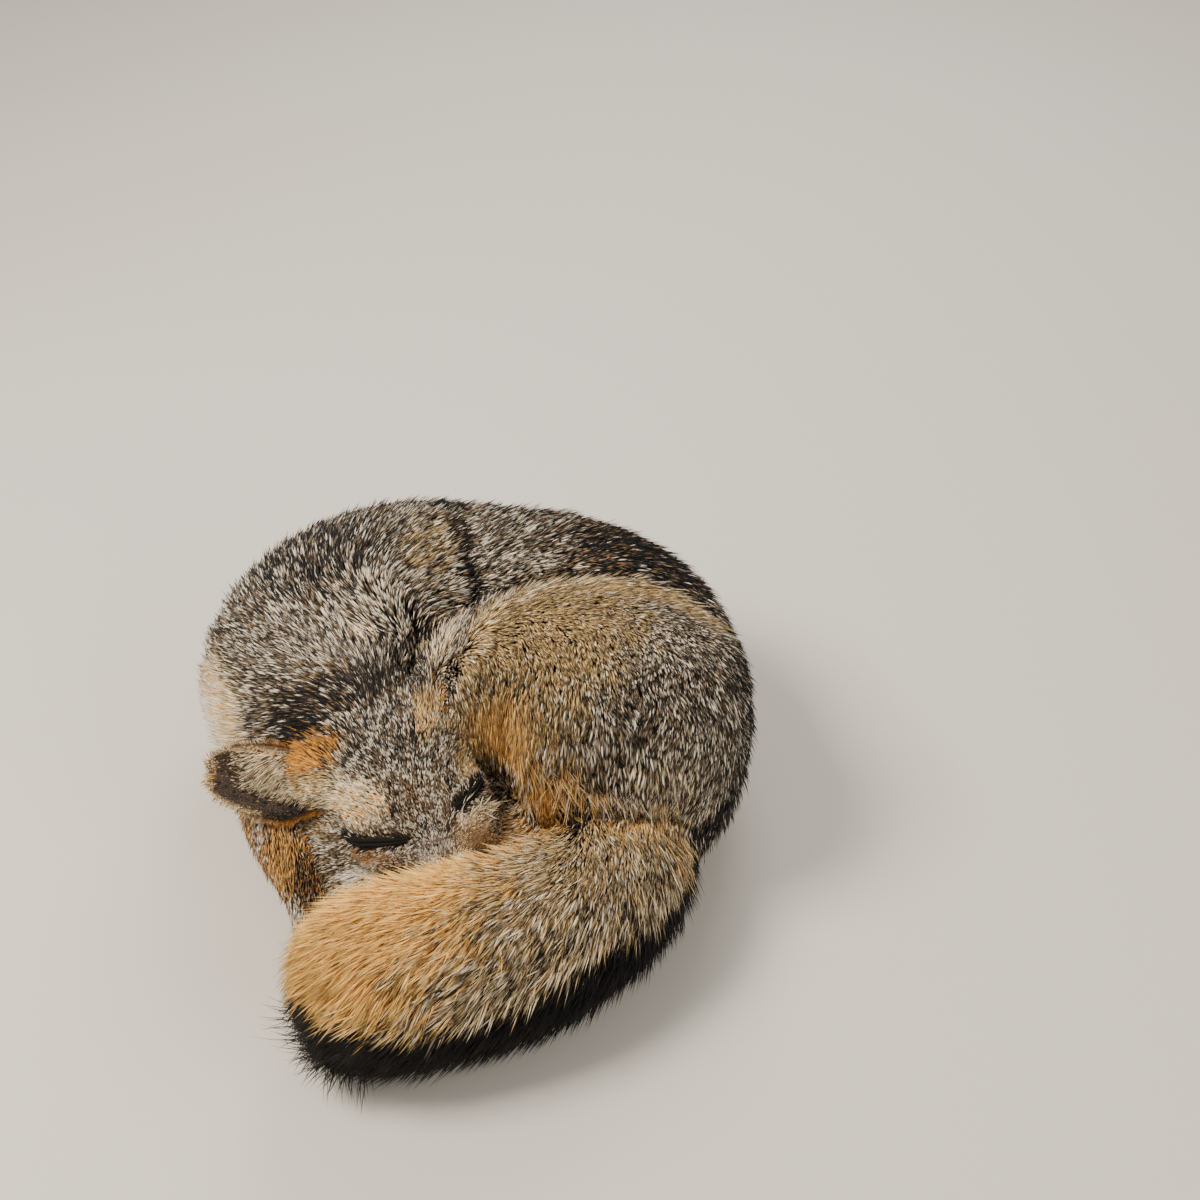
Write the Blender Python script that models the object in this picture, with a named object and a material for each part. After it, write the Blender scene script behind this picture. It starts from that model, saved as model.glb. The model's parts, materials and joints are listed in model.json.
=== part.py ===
"""A gray fox curled up asleep on its right side, as a life-size soft mount.

Frame: +Z up, +X to the side of the rump, +Y towards the back of the curl, origin under the middle of it.
The spine runs round the outside of the curl, from the neck at -X over +Y to the rump at +X, and the tail
comes forward along -Y over the muzzle. Every solid is the outer form of the coat, out to the hair's tips.
The flesh is modelled whole and parted with thin cuts, so the pieces meet face to face, GAP apart.
"""

import math

import bmesh
import bpy
from mathutils import Matrix, Vector

# ---- Driving dimensions, in metres ----
GAP = 0.0003  # clearance between two pieces that touch
TRUNK_HALF_DEPTH = 0.064  # half of back to belly, in the coat; it lies level, across the curl
TRUNK_HALF_HEIGHT = 0.074  # half of side to side; it stands upright, as the fox lies on its side
TAIL_RADIUS = 0.048  # the brush at its thickest
EAR_WIDTH = 0.044
EAR_THICKNESS = 0.0032  # of the ear's leaf, with its short fur
EYE_SPACING = 0.053  # from eye to eye
EYE_LENGTH = 0.044  # corner to corner of the closed lids
LEAST_HALF_WIDTH = 0.0035  # of the ear's leaf, at its tip
EYE_DEPTH = 0.0042  # how far the dark eye lies under the lids
TOE_SPACING = 0.0062
TOE_HEIGHT = 0.0085  # of the middle of a toe over the floor
TOE_RADII = (0.0085, 0.0060, 0.0080)
NOSE_RADII = (0.0045, 0.0085, 0.0062)  # forward, to the side and up

VOXEL = 0.0034  # size of the cells in which overlapping forms melt into one
RING_SIDES = 20
CURL_CENTRE = Vector((0.005, 0.020, 0.0))  # the middle of the curl, from which the trunk is parted
TRUNK_PARTS = {"neck": (168, 235), "chest": (88, 168), "loin": (20, 88), "rump": (-100, 20)}  # in degrees
TAIL_CUTS = (((0.062, -0.094, 0.047), (-0.75, -0.55, 0.0)), ((-0.024, -0.128, 0.047), (-1.0, -0.18, 0.0)))

# The head's own axes: where the muzzle points, and its right-hand side, which leans down a little.
HEAD_FORWARD = Vector((0.371, -0.865, -0.337)).normalized()
HEAD_RIGHT = Vector((-0.92, -0.29, -0.27)).normalized()
HEAD_UP = HEAD_RIGHT.cross(HEAD_FORWARD).normalized()
EYE_LINE = Vector((-0.0225, -0.0495, 0.0750))  # midway between the eyes


# ---- Tools ----
def clear_scene():
    for old in list(bpy.data.objects):
        bpy.data.objects.remove(old, do_unlink=True)


def finish_of(name, colour, roughness):
    """A plain Principled finish for one kind of surface."""
    made = bpy.data.materials.get(name) or bpy.data.materials.new(name)
    made.use_nodes = True
    shader = made.node_tree.nodes["Principled BSDF"]
    shader.inputs["Base Color"].default_value = (*colour, 1.0)
    shader.inputs["Roughness"].default_value = roughness
    shader.inputs["Metallic"].default_value = 0.0
    return made


def object_from(name, bm, material=None):
    """A new object that holds this bmesh."""
    mesh = bpy.data.meshes.new(name)
    bmesh.ops.recalc_face_normals(bm, faces=bm.faces)
    bm.to_mesh(mesh)
    bm.free()
    made = bpy.data.objects.new(name, mesh)
    bpy.context.scene.collection.objects.link(made)
    if material:
        mesh.materials.append(material)
    return made


def apply_modifiers(obj):
    """Turns the object's modifiers into its mesh."""
    graph = bpy.context.evaluated_depsgraph_get()
    done = bpy.data.meshes.new_from_object(obj.evaluated_get(graph))
    obj.modifiers.clear()
    obj.data = done


def spline_point(points, t):
    """A point at t, from 0 to 1, of the smooth curve through a list of vectors of any length."""
    spans = len(points) - 1
    place = min(max(t, 0.0), 1.0) * spans
    i = min(int(place), spans - 1)
    u = place - i
    b, c = points[i], points[i + 1]
    a = points[i - 1] if i else b + (b - c)
    d = points[i + 2] if i + 2 <= spans else c + (c - b)
    return 0.5 * (2 * b + (c - a) * u + (2 * a - 5 * b + 4 * c - d) * u * u + (3 * b - a - 3 * c + d) * u**3)


def add_tube(bm, stations, rings=16):
    """A closed tube through stations of (x, y, z, half its width, half its height), bridged ring to ring."""
    centres = [Vector(s[:3]) for s in stations]
    sizes = [Vector((s[3], s[4], 0.0)) for s in stations]
    loops = []
    for k in range(rings):
        t = k / (rings - 1)
        centre, size = spline_point(centres, t), spline_point(sizes, t)
        along = spline_point(centres, t + 0.01) - spline_point(centres, t - 0.01)
        along.normalize()
        across = along.cross(Vector((0, 0, 1))).normalized()
        up = across.cross(along)
        place = Matrix((across, up, along)).transposed().to_4x4()
        place.translation = centre
        scale = Matrix.Diagonal((max(size.x, 0.001), max(size.y, 0.001), 1.0, 1.0))
        capped = k in (0, rings - 1)
        place = place @ scale
        made = bmesh.ops.create_circle(bm, cap_ends=capped, segments=RING_SIDES, radius=1.0, matrix=place)
        corners = set(made["verts"])
        loops.append([e for e in bm.edges if e.verts[0] in corners and e.verts[1] in corners])
    for first, second in zip(loops, loops[1:]):
        bmesh.ops.bridge_loops(bm, edges=first + second)


def add_ball(bm, centre, radii, axes=None):
    """An ellipsoid, with its radii along the three axes given, or along X, Y and Z."""
    place = Matrix(axes).transposed().to_4x4() if axes else Matrix.Identity(4)
    place.translation = Vector(centre)
    bmesh.ops.create_icosphere(bm, subdivisions=4, radius=1.0, matrix=place @ Matrix.Diagonal((*radii, 1.0)))


def flesh(name, build, material, triangles, voxel=VOXEL, smoothing=6):
    """The forms that build() adds, melted into one smooth closed body of about this many triangles."""
    bm = bmesh.new()
    build(bm)
    made = object_from(name, bm, material)
    melt = made.modifiers.new("melt", "REMESH")
    melt.mode = "VOXEL"
    melt.voxel_size = voxel
    soften = made.modifiers.new("soften", "SMOOTH")
    soften.factor = 0.5
    soften.iterations = smoothing
    apply_modifiers(made)
    thin = made.modifiers.new("thin", "DECIMATE")
    thin.ratio = min(1.0, triangles / (2 * len(made.data.polygons)))
    apply_modifiers(made)
    return made


def keep_largest(obj):
    """Drops the slivers that a cut leaves, so that the object stays one body."""
    bm = bmesh.new()
    bm.from_mesh(obj.data)
    bm.verts.ensure_lookup_table()
    seen, bodies = set(), []
    for start in bm.verts:
        if start in seen:
            continue
        body, todo = [], [start]
        seen.add(start)
        while todo:
            vert = todo.pop()
            body.append(vert)
            for edge in vert.link_edges:
                other = edge.other_vert(vert)
                if other not in seen:
                    seen.add(other)
                    todo.append(other)
        bodies.append(body)
    bodies.sort(key=len, reverse=True)
    bmesh.ops.delete(bm, geom=[v for body in bodies[1:] for v in body], context="VERTS")
    bm.to_mesh(obj.data)
    bm.free()


def boolean(obj, other, operation):
    cut = obj.modifiers.new("cut", "BOOLEAN")
    cut.operation = operation
    cut.object = other
    cut.solver = "EXACT"
    apply_modifiers(obj)
    keep_largest(obj)


def grown(obj, by=GAP):
    """A hidden copy of obj, larger all over by this much: the cutter that leaves the clearance."""
    bm = bmesh.new()
    bm.from_mesh(obj.data)
    bm.normal_update()
    for vert in bm.verts:
        sharpness = max(vert.calc_shell_factor(), 1.0)
        vert.co += vert.normal * by * min(sharpness, 2.0)
    made = object_from("cutter_" + obj.name, bm)
    made.hide_render = True
    made.display_type = "WIRE"
    return made


def box_of(obj):
    """The lowest and the highest corner of an object."""
    corners = [vert.co for vert in obj.data.vertices]
    return [[pick(co[i] for co in corners) for i in range(3)] for pick in (min, max)]


def far_apart(one, other):
    """Whether the boxes round two objects are clear of each other."""
    low_a, high_a = box_of(one)
    low_b, high_b = box_of(other)
    return any(low_a[i] > high_b[i] or low_b[i] > high_a[i] for i in range(3))


def make_room(pieces):
    """Cuts each piece back from the whole form of every piece before it in the list, with the clearance."""
    cutters = [grown(piece) for piece in pieces]
    for i, piece in enumerate(pieces):
        for cutter in reversed(cutters[:i]):
            if not far_apart(piece, cutter):
                boolean(piece, cutter, "DIFFERENCE")
    for cutter in cutters:
        bpy.data.objects.remove(cutter, do_unlink=True)


def stand_on_floor(obj):
    """Cuts off what lies below the floor, which leaves the flat that the piece rests on."""
    bm = bmesh.new()
    bmesh.ops.create_cube(bm, size=1.0, matrix=Matrix.Translation((0, 0, -0.5)))
    floor = object_from("cutter_floor", bm)
    boolean(obj, floor, "DIFFERENCE")
    bpy.data.objects.remove(floor, do_unlink=True)


def pie_slice(whole, name, start, end, centre=CURL_CENTRE):
    """The part of whole between two upright planes at these angles round the curl's centre, in degrees."""
    reach, low, high, steps = 0.5, -0.1, 0.4, 6
    shift = GAP / 2
    bm = bmesh.new()
    corners = []
    first, last = math.radians(start), math.radians(end)
    middle = (first + last) / 2
    inset = shift / max(math.sin((last - first) / 2), 0.2)
    apex = centre + Vector((math.cos(middle), math.sin(middle), 0)) * inset
    corners.append(bm.verts.new(apex + Vector((0, 0, low))))
    for k in range(steps + 1):
        angle = first + (last - first) * k / steps
        corners.append(bm.verts.new(apex + Vector((reach * math.cos(angle), reach * math.sin(angle), low))))
    face = bm.faces.new(corners)
    raised = bmesh.ops.extrude_face_region(bm, geom=[face])
    lid = [part for part in raised["geom"] if isinstance(part, bmesh.types.BMVert)]
    bmesh.ops.translate(bm, vec=(0, 0, high - low), verts=lid)
    wedge = object_from("cutter_wedge", bm)
    made = bpy.data.objects.new(name, whole.data.copy())
    bpy.context.scene.collection.objects.link(made)
    boolean(made, wedge, "INTERSECT")
    bpy.data.objects.remove(wedge, do_unlink=True)
    return made


def cross_cut(whole, name, start=None, end=None):
    """The part of whole between two planes, each a (point, direction); None leaves that end whole."""
    made = bpy.data.objects.new(name, whole.data.copy())
    bpy.context.scene.collection.objects.link(made)
    for plane, side in ((start, -1), (end, 1)):
        if plane is None:
            continue
        point, along = Vector(plane[0]), Vector(plane[1]).normalized() * side
        bm = bmesh.new()
        turn = along.to_track_quat("Z", "Y").to_matrix().to_4x4()
        turn.translation = point + along * (0.25 - GAP / 2)
        bmesh.ops.create_cube(bm, size=0.5, matrix=turn)
        block = object_from("cutter_block", bm)
        boolean(made, block, "DIFFERENCE")
        bpy.data.objects.remove(block, do_unlink=True)
    return made


def on_head(forward, right, up):
    """A point in the head's own frame, measured from midway between the eyes."""
    return EYE_LINE + HEAD_FORWARD * forward + HEAD_RIGHT * right + HEAD_UP * up


# ---- The trunk and neck: one tube round the curl ----
def add_trunk(bm):
    depth, height = TRUNK_HALF_DEPTH, TRUNK_HALF_HEIGHT
    add_tube(
        bm,
        [
            (-0.045, -0.008, 0.070, 0.48 * depth, 0.50 * height),
            (-0.064, 0.018, 0.069, 0.74 * depth, 0.80 * height),
            (-0.084, 0.044, 0.069, 0.97 * depth, 0.94 * height),
            (-0.090, 0.072, 0.070, 1.02 * depth, 0.96 * height),
            (-0.072, 0.101, 0.071, 1.04 * depth, 0.99 * height),
            (-0.035, 0.114, 0.073, 1.03 * depth, 1.01 * height),
            (0.008, 0.112, 0.072, 1.00 * depth, 0.98 * height),
            (0.048, 0.105, 0.071, 0.99 * depth, 0.98 * height),
            (0.080, 0.087, 0.070, 1.00 * depth, 0.97 * height),
            (0.099, 0.056, 0.068, 0.98 * depth, 0.94 * height),
            (0.101, 0.015, 0.063, 0.93 * depth, 0.87 * height),
            (0.095, -0.020, 0.056, 0.80 * depth, 0.75 * height),
            (0.086, -0.045, 0.052, 0.56 * depth, 0.55 * height),
            (0.080, -0.060, 0.050, 0.30 * depth, 0.28 * height),
        ],
        rings=40,
    )
    # the shoulder blade and upper arm stand out on the upper side, ahead of the ribs
    add_ball(bm, (-0.056, 0.092, 0.093), (0.049, 0.061, 0.058))


# ---- The head ----
def add_head(bm):
    axes = (HEAD_FORWARD, HEAD_RIGHT, HEAD_UP)
    add_ball(bm, on_head(-0.044, 0.002, -0.010), (0.048, 0.046, 0.034), axes)  # the brain case in its coat
    add_ball(bm, on_head(-0.008, 0.0, -0.010), (0.032, 0.034, 0.025), axes)  # brow and stop
    for side, fullness in ((-1, 0.78), (1, 1.0)):  # the left cheek is pressed in by the hind leg
        ruff = Vector((0.040, 0.028, 0.028)) * fullness
        add_ball(bm, on_head(-0.034, side * 0.034 * fullness, -0.028), ruff, axes)
        brow = on_head(-0.004, side * 0.022, -0.006)
        lips = on_head(0.004, side * 0.030, -0.032)
        add_ball(bm, brow, (0.024, 0.020, 0.013), axes)
        add_ball(bm, lips, (0.028, 0.016, 0.018), axes)
    add_ball(bm, on_head(-0.050, 0.042, 0.002), (0.020, 0.018, 0.017), axes)  # the root of the right ear
    # the right cheek is the free one, and its fur sinks outward to the foreleg under it
    add_ball(bm, on_head(-0.012, 0.046, -0.036), (0.038, 0.022, 0.024), axes)
    muzzle = [
        (-0.020, -0.018, 0.032, 0.030),
        (0.012, -0.015, 0.024, 0.020),
        (0.034, -0.017, 0.0175, 0.0155),
        (0.052, -0.019, 0.0140, 0.0125),
        (0.062, -0.019, 0.0110, 0.0100),
        (0.067, -0.019, 0.0050, 0.0050),
    ]
    add_tube(bm, [(*on_head(f, 0.0, u), w, h) for f, u, w, h in muzzle], rings=14)
    jaw = [
        (-0.035, -0.038, 0.028, 0.016),
        (0.010, -0.032, 0.021, 0.013),
        (0.042, -0.028, 0.0115, 0.0090),
        (0.055, -0.027, 0.004, 0.003),
    ]
    add_tube(bm, [(*on_head(f, 0.0, u), w, h) for f, u, w, h in jaw], rings=10)


def nose(material):
    """The leather of the nose, set into the tip of the muzzle."""
    bm = bmesh.new()
    axes = (HEAD_FORWARD, HEAD_RIGHT, HEAD_UP)
    bmesh.ops.create_icosphere(bm, subdivisions=2, radius=1.0)
    place = Matrix(axes).transposed().to_4x4()
    place.translation = on_head(0.0655, 0.0, -0.0145)
    bmesh.ops.transform(bm, matrix=place @ Matrix.Diagonal((*NOSE_RADII, 1.0)), verts=bm.verts)
    return object_from("nose", bm, material)


def surface_point(obj, point, outward):
    """Where a line from well outside, against outward, first meets the object near this point."""
    start = point + outward * 0.04
    hit, place, _, _ = obj.ray_cast(start, -outward)
    return place if hit else point


def eye(name, side, head, material):
    """The dark closed eye: a flat lens in the slit between the lids, and the slit's hollow in the head."""
    along = (HEAD_FORWARD * 0.40 - HEAD_RIGHT * side * 0.88 + HEAD_UP * 0.12).normalized()
    out = (HEAD_RIGHT * side * 0.50 + HEAD_UP * 0.66 + HEAD_FORWARD * 0.34).normalized()
    out = (out - along * out.dot(along)).normalized()
    across = along.cross(out)
    surface = surface_point(head, on_head(0.002, side * EYE_SPACING / 2, 0.004), out)
    parts = []
    for label, depth, radii in (
        ("cutter_" + name, 0.0, (0.50 * EYE_LENGTH, 0.0030, 0.0032)),
        (name, EYE_DEPTH, (0.39 * EYE_LENGTH, 0.0022, 0.0034)),
    ):
        bm = bmesh.new()
        bmesh.ops.create_icosphere(bm, subdivisions=2, radius=1.0)
        place = Matrix((along, out, across)).transposed().to_4x4()
        place.translation = surface - out * depth
        bmesh.ops.transform(bm, matrix=place @ Matrix.Diagonal((*radii, 1.0)), verts=bm.verts)
        parts.append(object_from(label, bm, material))
    return parts


def ear(name, base, tip, opening, fold, material):
    """A cupped leaf from base to tip, hollow towards opening; its sides curl round by fold, in degrees."""
    bm = bmesh.new()
    along = (tip - base).normalized()
    inward = (opening - along * opening.dot(along)).normalized()
    across = along.cross(inward)
    grid = bmesh.ops.create_grid(bm, x_segments=6, y_segments=6, size=1.0)
    for vert in grid["verts"]:
        u = 0.5 * (vert.co.x + 1.0)
        v = vert.co.y
        outline = (1.0 - 0.10 * math.cos(math.pi * u)) * math.sqrt(max(1.0 - u**3.2, 0.0))
        half_width = max(0.5 * EAR_WIDTH * outline, LEAST_HALF_WIDTH)
        wrap = math.radians(fold) * (1.0 - 0.45 * u)
        sideways = half_width * math.sin(v * wrap) / math.sin(wrap)
        sunk = half_width * (math.cos(v * wrap) - math.cos(wrap)) / math.sin(wrap)
        vert.co = base + along * (tip - base).length * u + across * sideways - inward * sunk
    made = object_from(name, bm, material)
    thick = made.modifiers.new("thick", "SOLIDIFY")
    thick.thickness = EAR_THICKNESS
    thick.offset = 0.0
    apply_modifiers(made)
    return made


# ---- Legs ----
def add_thigh_left(bm):
    add_tube(
        bm,
        [
            (0.150, -0.012, 0.072, 0.016, 0.018),
            (0.131, -0.009, 0.079, 0.051, 0.055),
            (0.104, 0.002, 0.087, 0.070, 0.068),
            (0.070, 0.018, 0.090, 0.071, 0.067),
            (0.038, 0.030, 0.089, 0.060, 0.062),
            (0.010, 0.028, 0.086, 0.050, 0.052),
            (-0.009, 0.023, 0.083, 0.036, 0.038),
            (-0.021, 0.020, 0.080, 0.013, 0.015),
        ],
        rings=24,
    )


def add_leg(bm, stations, toes=None):
    """A limb as a tube, with four toes round the end if toes gives its direction."""
    add_tube(bm, stations, rings=16)
    if toes is None:
        return
    end = Vector(stations[-2][:3])
    along = Vector(toes).normalized()
    across = along.cross(Vector((0, 0, 1))).normalized()
    for place in (-1.5, -0.5, 0.5, 1.5):
        reach = 0.014 - 0.0022 * abs(place)
        toe = end + along * reach + across * place * TOE_SPACING
        toe.z = TOE_HEIGHT
        add_ball(bm, toe, TOE_RADII, (along, across, Vector((0, 0, 1))))


def add_foreleg_right(bm):
    stations = [
        (-0.105, 0.040, 0.030, 0.020, 0.022),
        (-0.106, 0.010, 0.030, 0.029, 0.031),
        (-0.096, -0.022, 0.029, 0.026, 0.029),
        (-0.084, -0.050, 0.024, 0.021, 0.023),
        (-0.082, -0.070, 0.016, 0.016, 0.016),
        (-0.081, -0.078, 0.013, 0.012, 0.012),
    ]
    add_leg(bm, stations, toes=(-0.10, -1.0, 0.0))


def add_foreleg_left(bm):
    stations = [
        (-0.010, 0.062, 0.034, 0.016, 0.020),
        (-0.022, 0.036, 0.026, 0.018, 0.022),
        (-0.034, 0.004, 0.020, 0.016, 0.019),
        (-0.046, -0.026, 0.014, 0.014, 0.014),
        (-0.048, -0.038, 0.012, 0.010, 0.011),
    ]
    add_leg(bm, stations, toes=(-0.30, -1.0, 0.0))


def add_shank_left(bm):
    stations = [
        (-0.006, 0.014, 0.050, 0.010, 0.012),
        (0.010, 0.006, 0.050, 0.022, 0.022),
        (0.040, -0.012, 0.050, 0.021, 0.022),
        (0.072, -0.028, 0.050, 0.017, 0.020),
        (0.084, -0.034, 0.050, 0.008, 0.010),
    ]
    add_leg(bm, stations)


def add_hind_foot_left(bm):
    stations = [
        (0.078, -0.044, 0.046, 0.008, 0.010),
        (0.062, -0.044, 0.044, 0.016, 0.020),
        (0.030, -0.038, 0.043, 0.019, 0.023),
        (-0.002, -0.046, 0.036, 0.018, 0.021),
        (-0.028, -0.060, 0.021, 0.017, 0.015),
        (-0.046, -0.070, 0.015, 0.010, 0.010),
    ]
    add_leg(bm, stations)


def add_thigh_right(bm):
    stations = [
        (0.108, -0.006, 0.030, 0.016, 0.018),
        (0.084, 0.000, 0.028, 0.036, 0.032),
        (0.050, 0.010, 0.027, 0.038, 0.031),
        (0.020, 0.016, 0.025, 0.028, 0.027),
        (0.004, 0.018, 0.022, 0.010, 0.012),
    ]
    add_leg(bm, stations)


def add_hind_foot_right(bm):
    stations = [
        (0.066, -0.040, 0.014, 0.008, 0.010),
        (0.050, -0.042, 0.014, 0.015, 0.016),
        (0.018, -0.048, 0.013, 0.014, 0.015),
        (-0.008, -0.056, 0.012, 0.014, 0.013),
        (-0.020, -0.060, 0.010, 0.010, 0.010),
    ]
    add_leg(bm, stations, toes=(-1.0, -0.35, 0.0))


# ---- The tail ----
def add_tail(bm):
    r = TAIL_RADIUS
    add_tube(
        bm,
        [
            (0.100, -0.010, 0.052, 0.25 * r, 0.25 * r),
            (0.095, -0.030, 0.051, 0.66 * r, 0.70 * r),
            (0.087, -0.055, 0.049, 0.84 * r, 0.86 * r),
            (0.072, -0.082, 0.047, 0.88 * r, 0.92 * r),
            (0.048, -0.103, 0.047, 0.93 * r, 0.98 * r),
            (0.018, -0.117, 0.047, 0.98 * r, 1.00 * r),
            (-0.012, -0.125, 0.047, 1.02 * r, 1.00 * r),
            (-0.036, -0.130, 0.046, 1.02 * r, 0.98 * r),
            (-0.054, -0.131, 0.044, 0.95 * r, 0.93 * r),
            (-0.068, -0.130, 0.040, 0.74 * r, 0.76 * r),
            (-0.077, -0.129, 0.035, 0.38 * r, 0.40 * r),
        ],
        rings=30,
    )


def centre_on_origin():
    """Moves every piece alike, so that the origin is under the middle of the whole."""
    boxes = [box_of(obj) for obj in bpy.data.objects]
    low = [min(box[0][i] for box in boxes) for i in range(3)]
    high = [max(box[1][i] for box in boxes) for i in range(3)]
    shift = Vector((-(low[0] + high[0]) / 2, -(low[1] + high[1]) / 2, -low[2]))
    for obj in bpy.data.objects:
        obj.data.transform(Matrix.Translation(shift))


def build_all():
    clear_scene()
    coat = finish_of("coat", (0.30, 0.26, 0.21), 0.85)
    leg_coat = finish_of("leg_coat", (0.48, 0.27, 0.12), 0.85)
    tail_coat = finish_of("tail_coat", (0.42, 0.28, 0.14), 0.85)
    ear_coat = finish_of("ear_coat", (0.55, 0.40, 0.25), 0.8)
    leather = finish_of("nose_leather", (0.02, 0.018, 0.016), 0.45)
    closed_eye = finish_of("closed_eye", (0.02, 0.018, 0.016), 0.5)

    head = flesh("head", add_head, coat, 880, voxel=0.0028, smoothing=5)
    thigh = flesh("hindleg_left_thigh", add_thigh_left, coat, 460)
    shank = flesh("hindleg_left_shank", add_shank_left, leg_coat, 110)
    foot = flesh("hindleg_left_foot", add_hind_foot_left, leg_coat, 150, voxel=0.0025)
    thigh_right = flesh("hindleg_right_thigh", add_thigh_right, leg_coat, 130)
    foot_right = flesh("hindleg_right_foot", add_hind_foot_right, leg_coat, 170, voxel=0.0025)
    foreleg = flesh("foreleg_right", add_foreleg_right, leg_coat, 240, voxel=0.0025)
    foreleg_left = flesh("foreleg_left", add_foreleg_left, leg_coat, 200, voxel=0.0025)
    trunk = flesh("trunk", add_trunk, coat, 1050)
    tail = flesh("tail", add_tail, tail_coat, 560)

    ear_right = ear(
        "ear_right",
        Vector((-0.074, -0.030, 0.084)),
        Vector((-0.1455, -0.005, 0.076)),
        Vector((0.05, -0.80, 0.60)),
        62,
        ear_coat,
    )
    ear_left = ear(
        "ear_left",
        Vector((-0.016, -0.012, 0.096)),
        Vector((-0.027, 0.052, 0.104)),
        Vector((0.75, 0.25, -0.60)),
        25,
        ear_coat,
    )
    nose_leather = nose(leather)
    slit_right, eye_right = eye("eye_right", 1, head, closed_eye)
    slit_left, eye_left = eye("eye_left", -1, head, closed_eye)

    legs = [foot, shank, foot_right, thigh, thigh_right, foreleg, foreleg_left]
    make_room([nose_leather, eye_right, eye_left, head, ear_right, ear_left, *legs, trunk, tail])
    for slit in (slit_right, slit_left):
        boolean(head, slit, "DIFFERENCE")
        bpy.data.objects.remove(slit, do_unlink=True)
    for piece in (head, trunk, tail, *legs):
        stand_on_floor(piece)

    for name, (start, end) in TRUNK_PARTS.items():
        pie_slice(trunk, name, start, end)
    bpy.data.objects.remove(trunk, do_unlink=True)

    first_cut, second_cut = TAIL_CUTS
    cross_cut(tail, "tail_base", end=first_cut)
    cross_cut(tail, "tail_middle", start=first_cut, end=second_cut)
    cross_cut(tail, "tail_tip", start=second_cut)
    bpy.data.objects.remove(tail, do_unlink=True)
    centre_on_origin()


build_all()
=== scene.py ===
# %% [markdown]
# A gray fox lies curled up asleep on its right side: a life-size soft mount. This lesson dresses the plain
# solids of the model with a skin, a coat of solid tufts, closed eyes, ears, whiskers and claws.
# The solids are the outside of the fur, so the skin goes inside them and the hair fills what lies between.

# %% Load the frame that everything is placed in
import json
import math

import bmesh
import bpy
import numpy as np
from mathutils import Matrix, Vector
from mathutils.bvhtree import BVHTree

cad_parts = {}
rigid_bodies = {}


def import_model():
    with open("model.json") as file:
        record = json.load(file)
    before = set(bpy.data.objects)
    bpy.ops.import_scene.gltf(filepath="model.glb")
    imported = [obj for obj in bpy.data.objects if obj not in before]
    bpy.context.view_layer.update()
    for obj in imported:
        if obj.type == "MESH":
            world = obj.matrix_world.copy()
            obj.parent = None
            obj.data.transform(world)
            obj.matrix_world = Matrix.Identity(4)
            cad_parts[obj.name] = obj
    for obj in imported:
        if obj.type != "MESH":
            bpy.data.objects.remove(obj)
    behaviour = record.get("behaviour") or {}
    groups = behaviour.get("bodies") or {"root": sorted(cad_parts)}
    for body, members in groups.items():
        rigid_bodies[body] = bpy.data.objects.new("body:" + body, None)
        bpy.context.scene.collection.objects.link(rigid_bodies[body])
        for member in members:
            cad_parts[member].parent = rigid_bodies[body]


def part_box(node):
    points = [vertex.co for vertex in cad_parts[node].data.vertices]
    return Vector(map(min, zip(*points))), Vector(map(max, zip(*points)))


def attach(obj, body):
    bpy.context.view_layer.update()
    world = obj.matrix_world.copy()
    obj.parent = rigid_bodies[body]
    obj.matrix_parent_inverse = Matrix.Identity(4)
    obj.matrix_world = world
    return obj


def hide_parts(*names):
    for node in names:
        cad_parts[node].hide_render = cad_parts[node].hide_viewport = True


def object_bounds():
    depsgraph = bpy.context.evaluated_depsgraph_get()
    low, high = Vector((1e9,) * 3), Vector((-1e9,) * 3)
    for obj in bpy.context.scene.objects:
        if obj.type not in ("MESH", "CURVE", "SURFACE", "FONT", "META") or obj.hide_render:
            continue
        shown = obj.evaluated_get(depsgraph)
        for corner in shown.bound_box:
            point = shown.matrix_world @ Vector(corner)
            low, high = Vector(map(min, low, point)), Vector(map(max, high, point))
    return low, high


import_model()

cad_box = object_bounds()
print("size of the solids, mm:", [round((b - a) * 1000) for a, b in zip(*cad_box)])

# %% [markdown]
# The camera stands in front of the fox and looks down on it from the height of a person's chest.
# A camera looks along its own -Z, so its matrix is built from the three directions it should have.

# %% Camera
EYE_POINT = Vector((0.0736, -0.6909, 0.802))
LOOK_DOWN = math.radians(41.8)
LEAN = math.radians(-2.0)
LENS, SENSOR = 53.7, 36.0  # in mm

ahead = Vector((0.0, math.cos(LOOK_DOWN), -math.sin(LOOK_DOWN)))
level_right = Vector((1.0, 0.0, 0.0))
level_up = level_right.cross(ahead)
right = math.cos(LEAN) * level_right + math.sin(LEAN) * level_up
up = (-ahead).cross(right)
camera_data = bpy.data.cameras.new("camera")
camera_data.sensor_width, camera_data.lens = SENSOR, LENS
camera = bpy.data.objects.new("camera", camera_data)
camera.matrix_world = Matrix.Translation(EYE_POINT) @ Matrix((right, up, -ahead)).transposed().to_4x4()
bpy.context.scene.collection.objects.link(camera)
bpy.context.scene.camera = camera
print("camera height, m:", round(EYE_POINT.z, 3))

# %% [markdown]
# A large soft light from the left and above gives the fur its form, a weaker one opposite opens the shadows,
# and a pale sky lights the rest. Fur needs soft light: a hard one turns every tuft into a spike.

# %% Lights
def srgb(red, green, blue):
    """A colour as seen, 0 to 255, turned into the linear values that a shader works with."""
    return tuple((c / 255 / 12.92) if c <= 10 else ((c / 255 + 0.055) / 1.055) ** 2.4 for c in (red, green, blue))


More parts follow.
